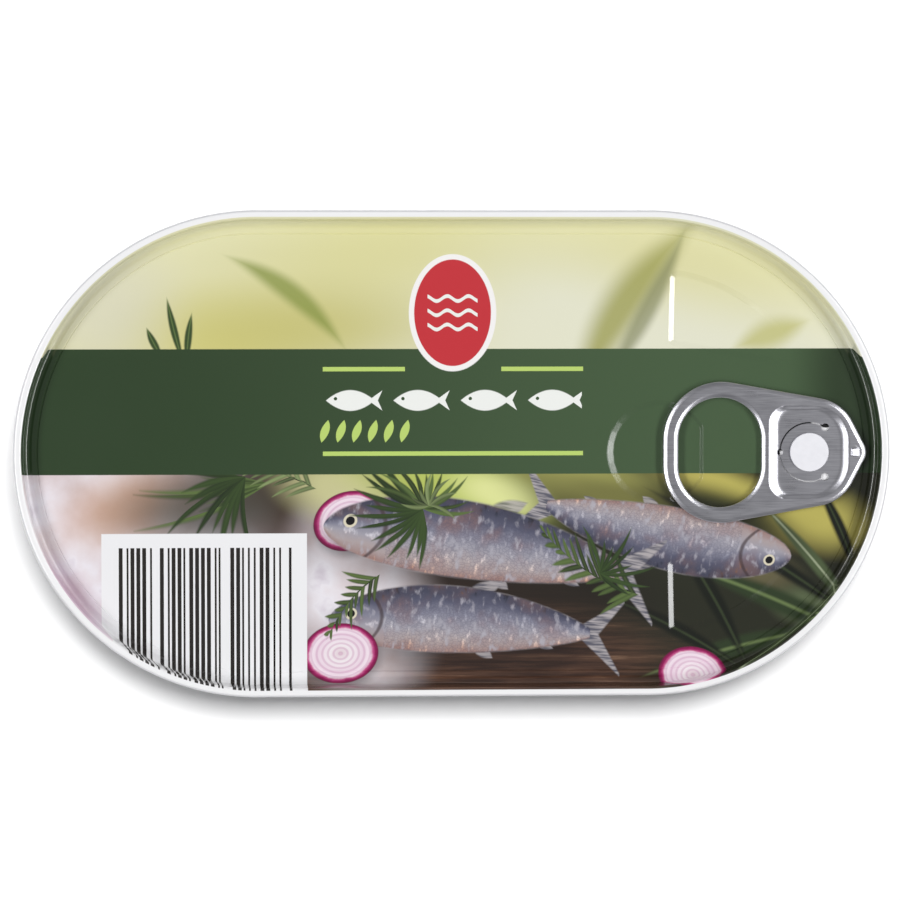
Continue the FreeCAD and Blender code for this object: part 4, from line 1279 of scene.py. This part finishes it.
def bare_aluminium(name, tint, dull, roughness, stretch, depth):
    """Bare aluminium with a fine grain: stretch is the grain's fineness along each axis, per metre."""
    material, nodes, shader = new_material(name, metallic=1.0)
    solid = nodes.add("ShaderNodeTexCoord").outputs["Object"]
    grain = nodes.noise(solid, 1.0, 4.0, 0.6, stretch)
    cloud = nodes.noise(solid, 260.0, 4.0)
    color = nodes.mix(nodes.rise(grain, 0.3, 0.7), dull, tint)
    color = nodes.mix(nodes.ramp(cloud, (0.45, 0.0), (0.75, 0.5)), color, dull)
    nodes.feed(shader.inputs["Base Color"], color)
    nodes.feed(shader.inputs["Roughness"], cloud * 0.12 + (grain * 0.1 + (roughness - 0.11)))
    add_bump(nodes, shader, grain, 0.25, depth)
    return material


# ---------------- make the pieces
tray = model_tray()
finish_piece(tray, "tin_body", "tray_metal",
             bare_aluminium("tray_metal", (0.84, 0.84, 0.85), (0.70, 0.70, 0.72), 0.34, (900.0, 900.0, 40.0),
                            0.00003))
lid = model_lid()
part_by_print(lid)
map_print(lid)
finish_piece(lid, "lid", "lid_print", lid_material("lid_lower_print", print_lower),
             lid_material("lid_band_print", print_band), lid_material("lid_upper_print", print_upper))
rivet = model_rivet()
finish_piece(rivet, "rivet", "rivet_enamel", rivet_material())
tab = model_tab()
finish_piece(tab, "pull_tab", "tab_metal",
             bare_aluminium("tab_metal", (0.745, 0.745, 0.79), (0.57, 0.57, 0.615), 0.30,
                            (180.0, 5200.0, 180.0), 0.00001))


# ---------------- stage, light and camera
def floor_material():
    """White paper, which glows a little where it is seen or mirrored."""
    material = bpy.data.materials.new("floor_paper")
    nodes = empty_nodes(material)
    paper = nodes.add("ShaderNodeBsdfDiffuse", ((0.9, 0.9, 0.9),)).outputs[0]
    glow = nodes.add("ShaderNodeEmission", ((1, 1, 1), 0.02)).outputs[0]
    lit = nodes.add("ShaderNodeAddShader", (paper, glow)).outputs[0]
    path = nodes.add("ShaderNodeLightPath").outputs
    seen = nodes.math("MAXIMUM", path["Is Camera Ray"], path["Is Glossy Ray"])
    choose = nodes.add("ShaderNodeMixShader", (seen, paper, lit)).outputs[0]
    nodes.add("ShaderNodeOutputMaterial", (choose,))
    return material


def light_world():
    """Grey overhead, white low down."""
    world = bpy.data.worlds.new("studio")
    bpy.context.scene.world = world
    nodes = empty_nodes(world)
    up = nodes.parts("ShaderNodeSeparateXYZ", nodes.add("ShaderNodeTexCoord").outputs["Generated"])[2]
    sky = nodes.colors(up, [(0.0, (1, 1, 1)), (0.12, (0.9, 0.9, 0.9)), (0.35, (0.20, 0.20, 0.205)),
                            (1.0, (0.18, 0.18, 0.185))])
    nodes.add("ShaderNodeOutputWorld", (nodes.add("ShaderNodeBackground", (sky, 1.0)).outputs[0],))


def softbox(name, place, width, height, radiance, state):
    """Area lamp aimed at the tin, with power for the brightness wanted, linked to the floor by state."""
    rest_tools()
    aim = (Vector((0, 0, 0.02)) - Vector(place)).to_track_quat("-Z", "Y").to_euler()
    bpy.ops.object.light_add(type="AREA", location=place, rotation=aim)
    lamp = bpy.context.object
    lamp.name = name
    lamp.data.shape = "RECTANGLE"
    lamp.data.size = width
    lamp.data.size_y = height
    lamp.data.energy = radiance * math.pi * width * height
    flag = bpy.data.collections.new(name + "_flag")
    flag.objects.link(floor)
    flag.collection_objects[0].light_linking.link_state = state
    lamp.light_linking.receiver_collection = flag


LENS_DISTANCE = 0.70
FRAME_WIDTH = 0.1515
SENSOR = 36.0
TILT = math.radians(3.0)
SWING = math.radians(-3.0)
AIM = (-0.635, 0.68, TIN_TOP)


def place_camera():
    target = Vector(AIM) * MM
    direction = Vector((math.sin(SWING), math.sin(TILT), math.cos(TILT))).normalized()
    rest_tools()
    bpy.ops.object.camera_add(location=target + direction * LENS_DISTANCE)
    camera = bpy.context.object
    across = Vector((0, 1, 0)).cross(direction).normalized()
    camera.rotation_euler = Matrix((across, direction.cross(across), direction)).transposed().to_euler()
    camera.data.sensor_width = SENSOR
    camera.data.lens = SENSOR * LENS_DISTANCE / FRAME_WIDTH
    bpy.context.scene.camera = camera


rest_tools()
bpy.ops.mesh.primitive_plane_add(size=4.0, location=(0, 0, 0))
floor = bpy.context.object
floor.name = "floor"
floor.data.materials.append(floor_material())
light_world()
# two tall softboxes either side light the tin alone; one behind lights the floor alone
for side in (-1, 1):
    softbox("side_softbox", (side * 0.67, 0.0, 0.77), 0.9, 0.20, 10.9, "EXCLUDE")
softbox("floor_softbox", (0.0, 0.245, 1.3), 0.30, 0.23, 82.0, "INCLUDE")
place_camera()
bpy.context.scene.view_settings.view_transform = "Standard"
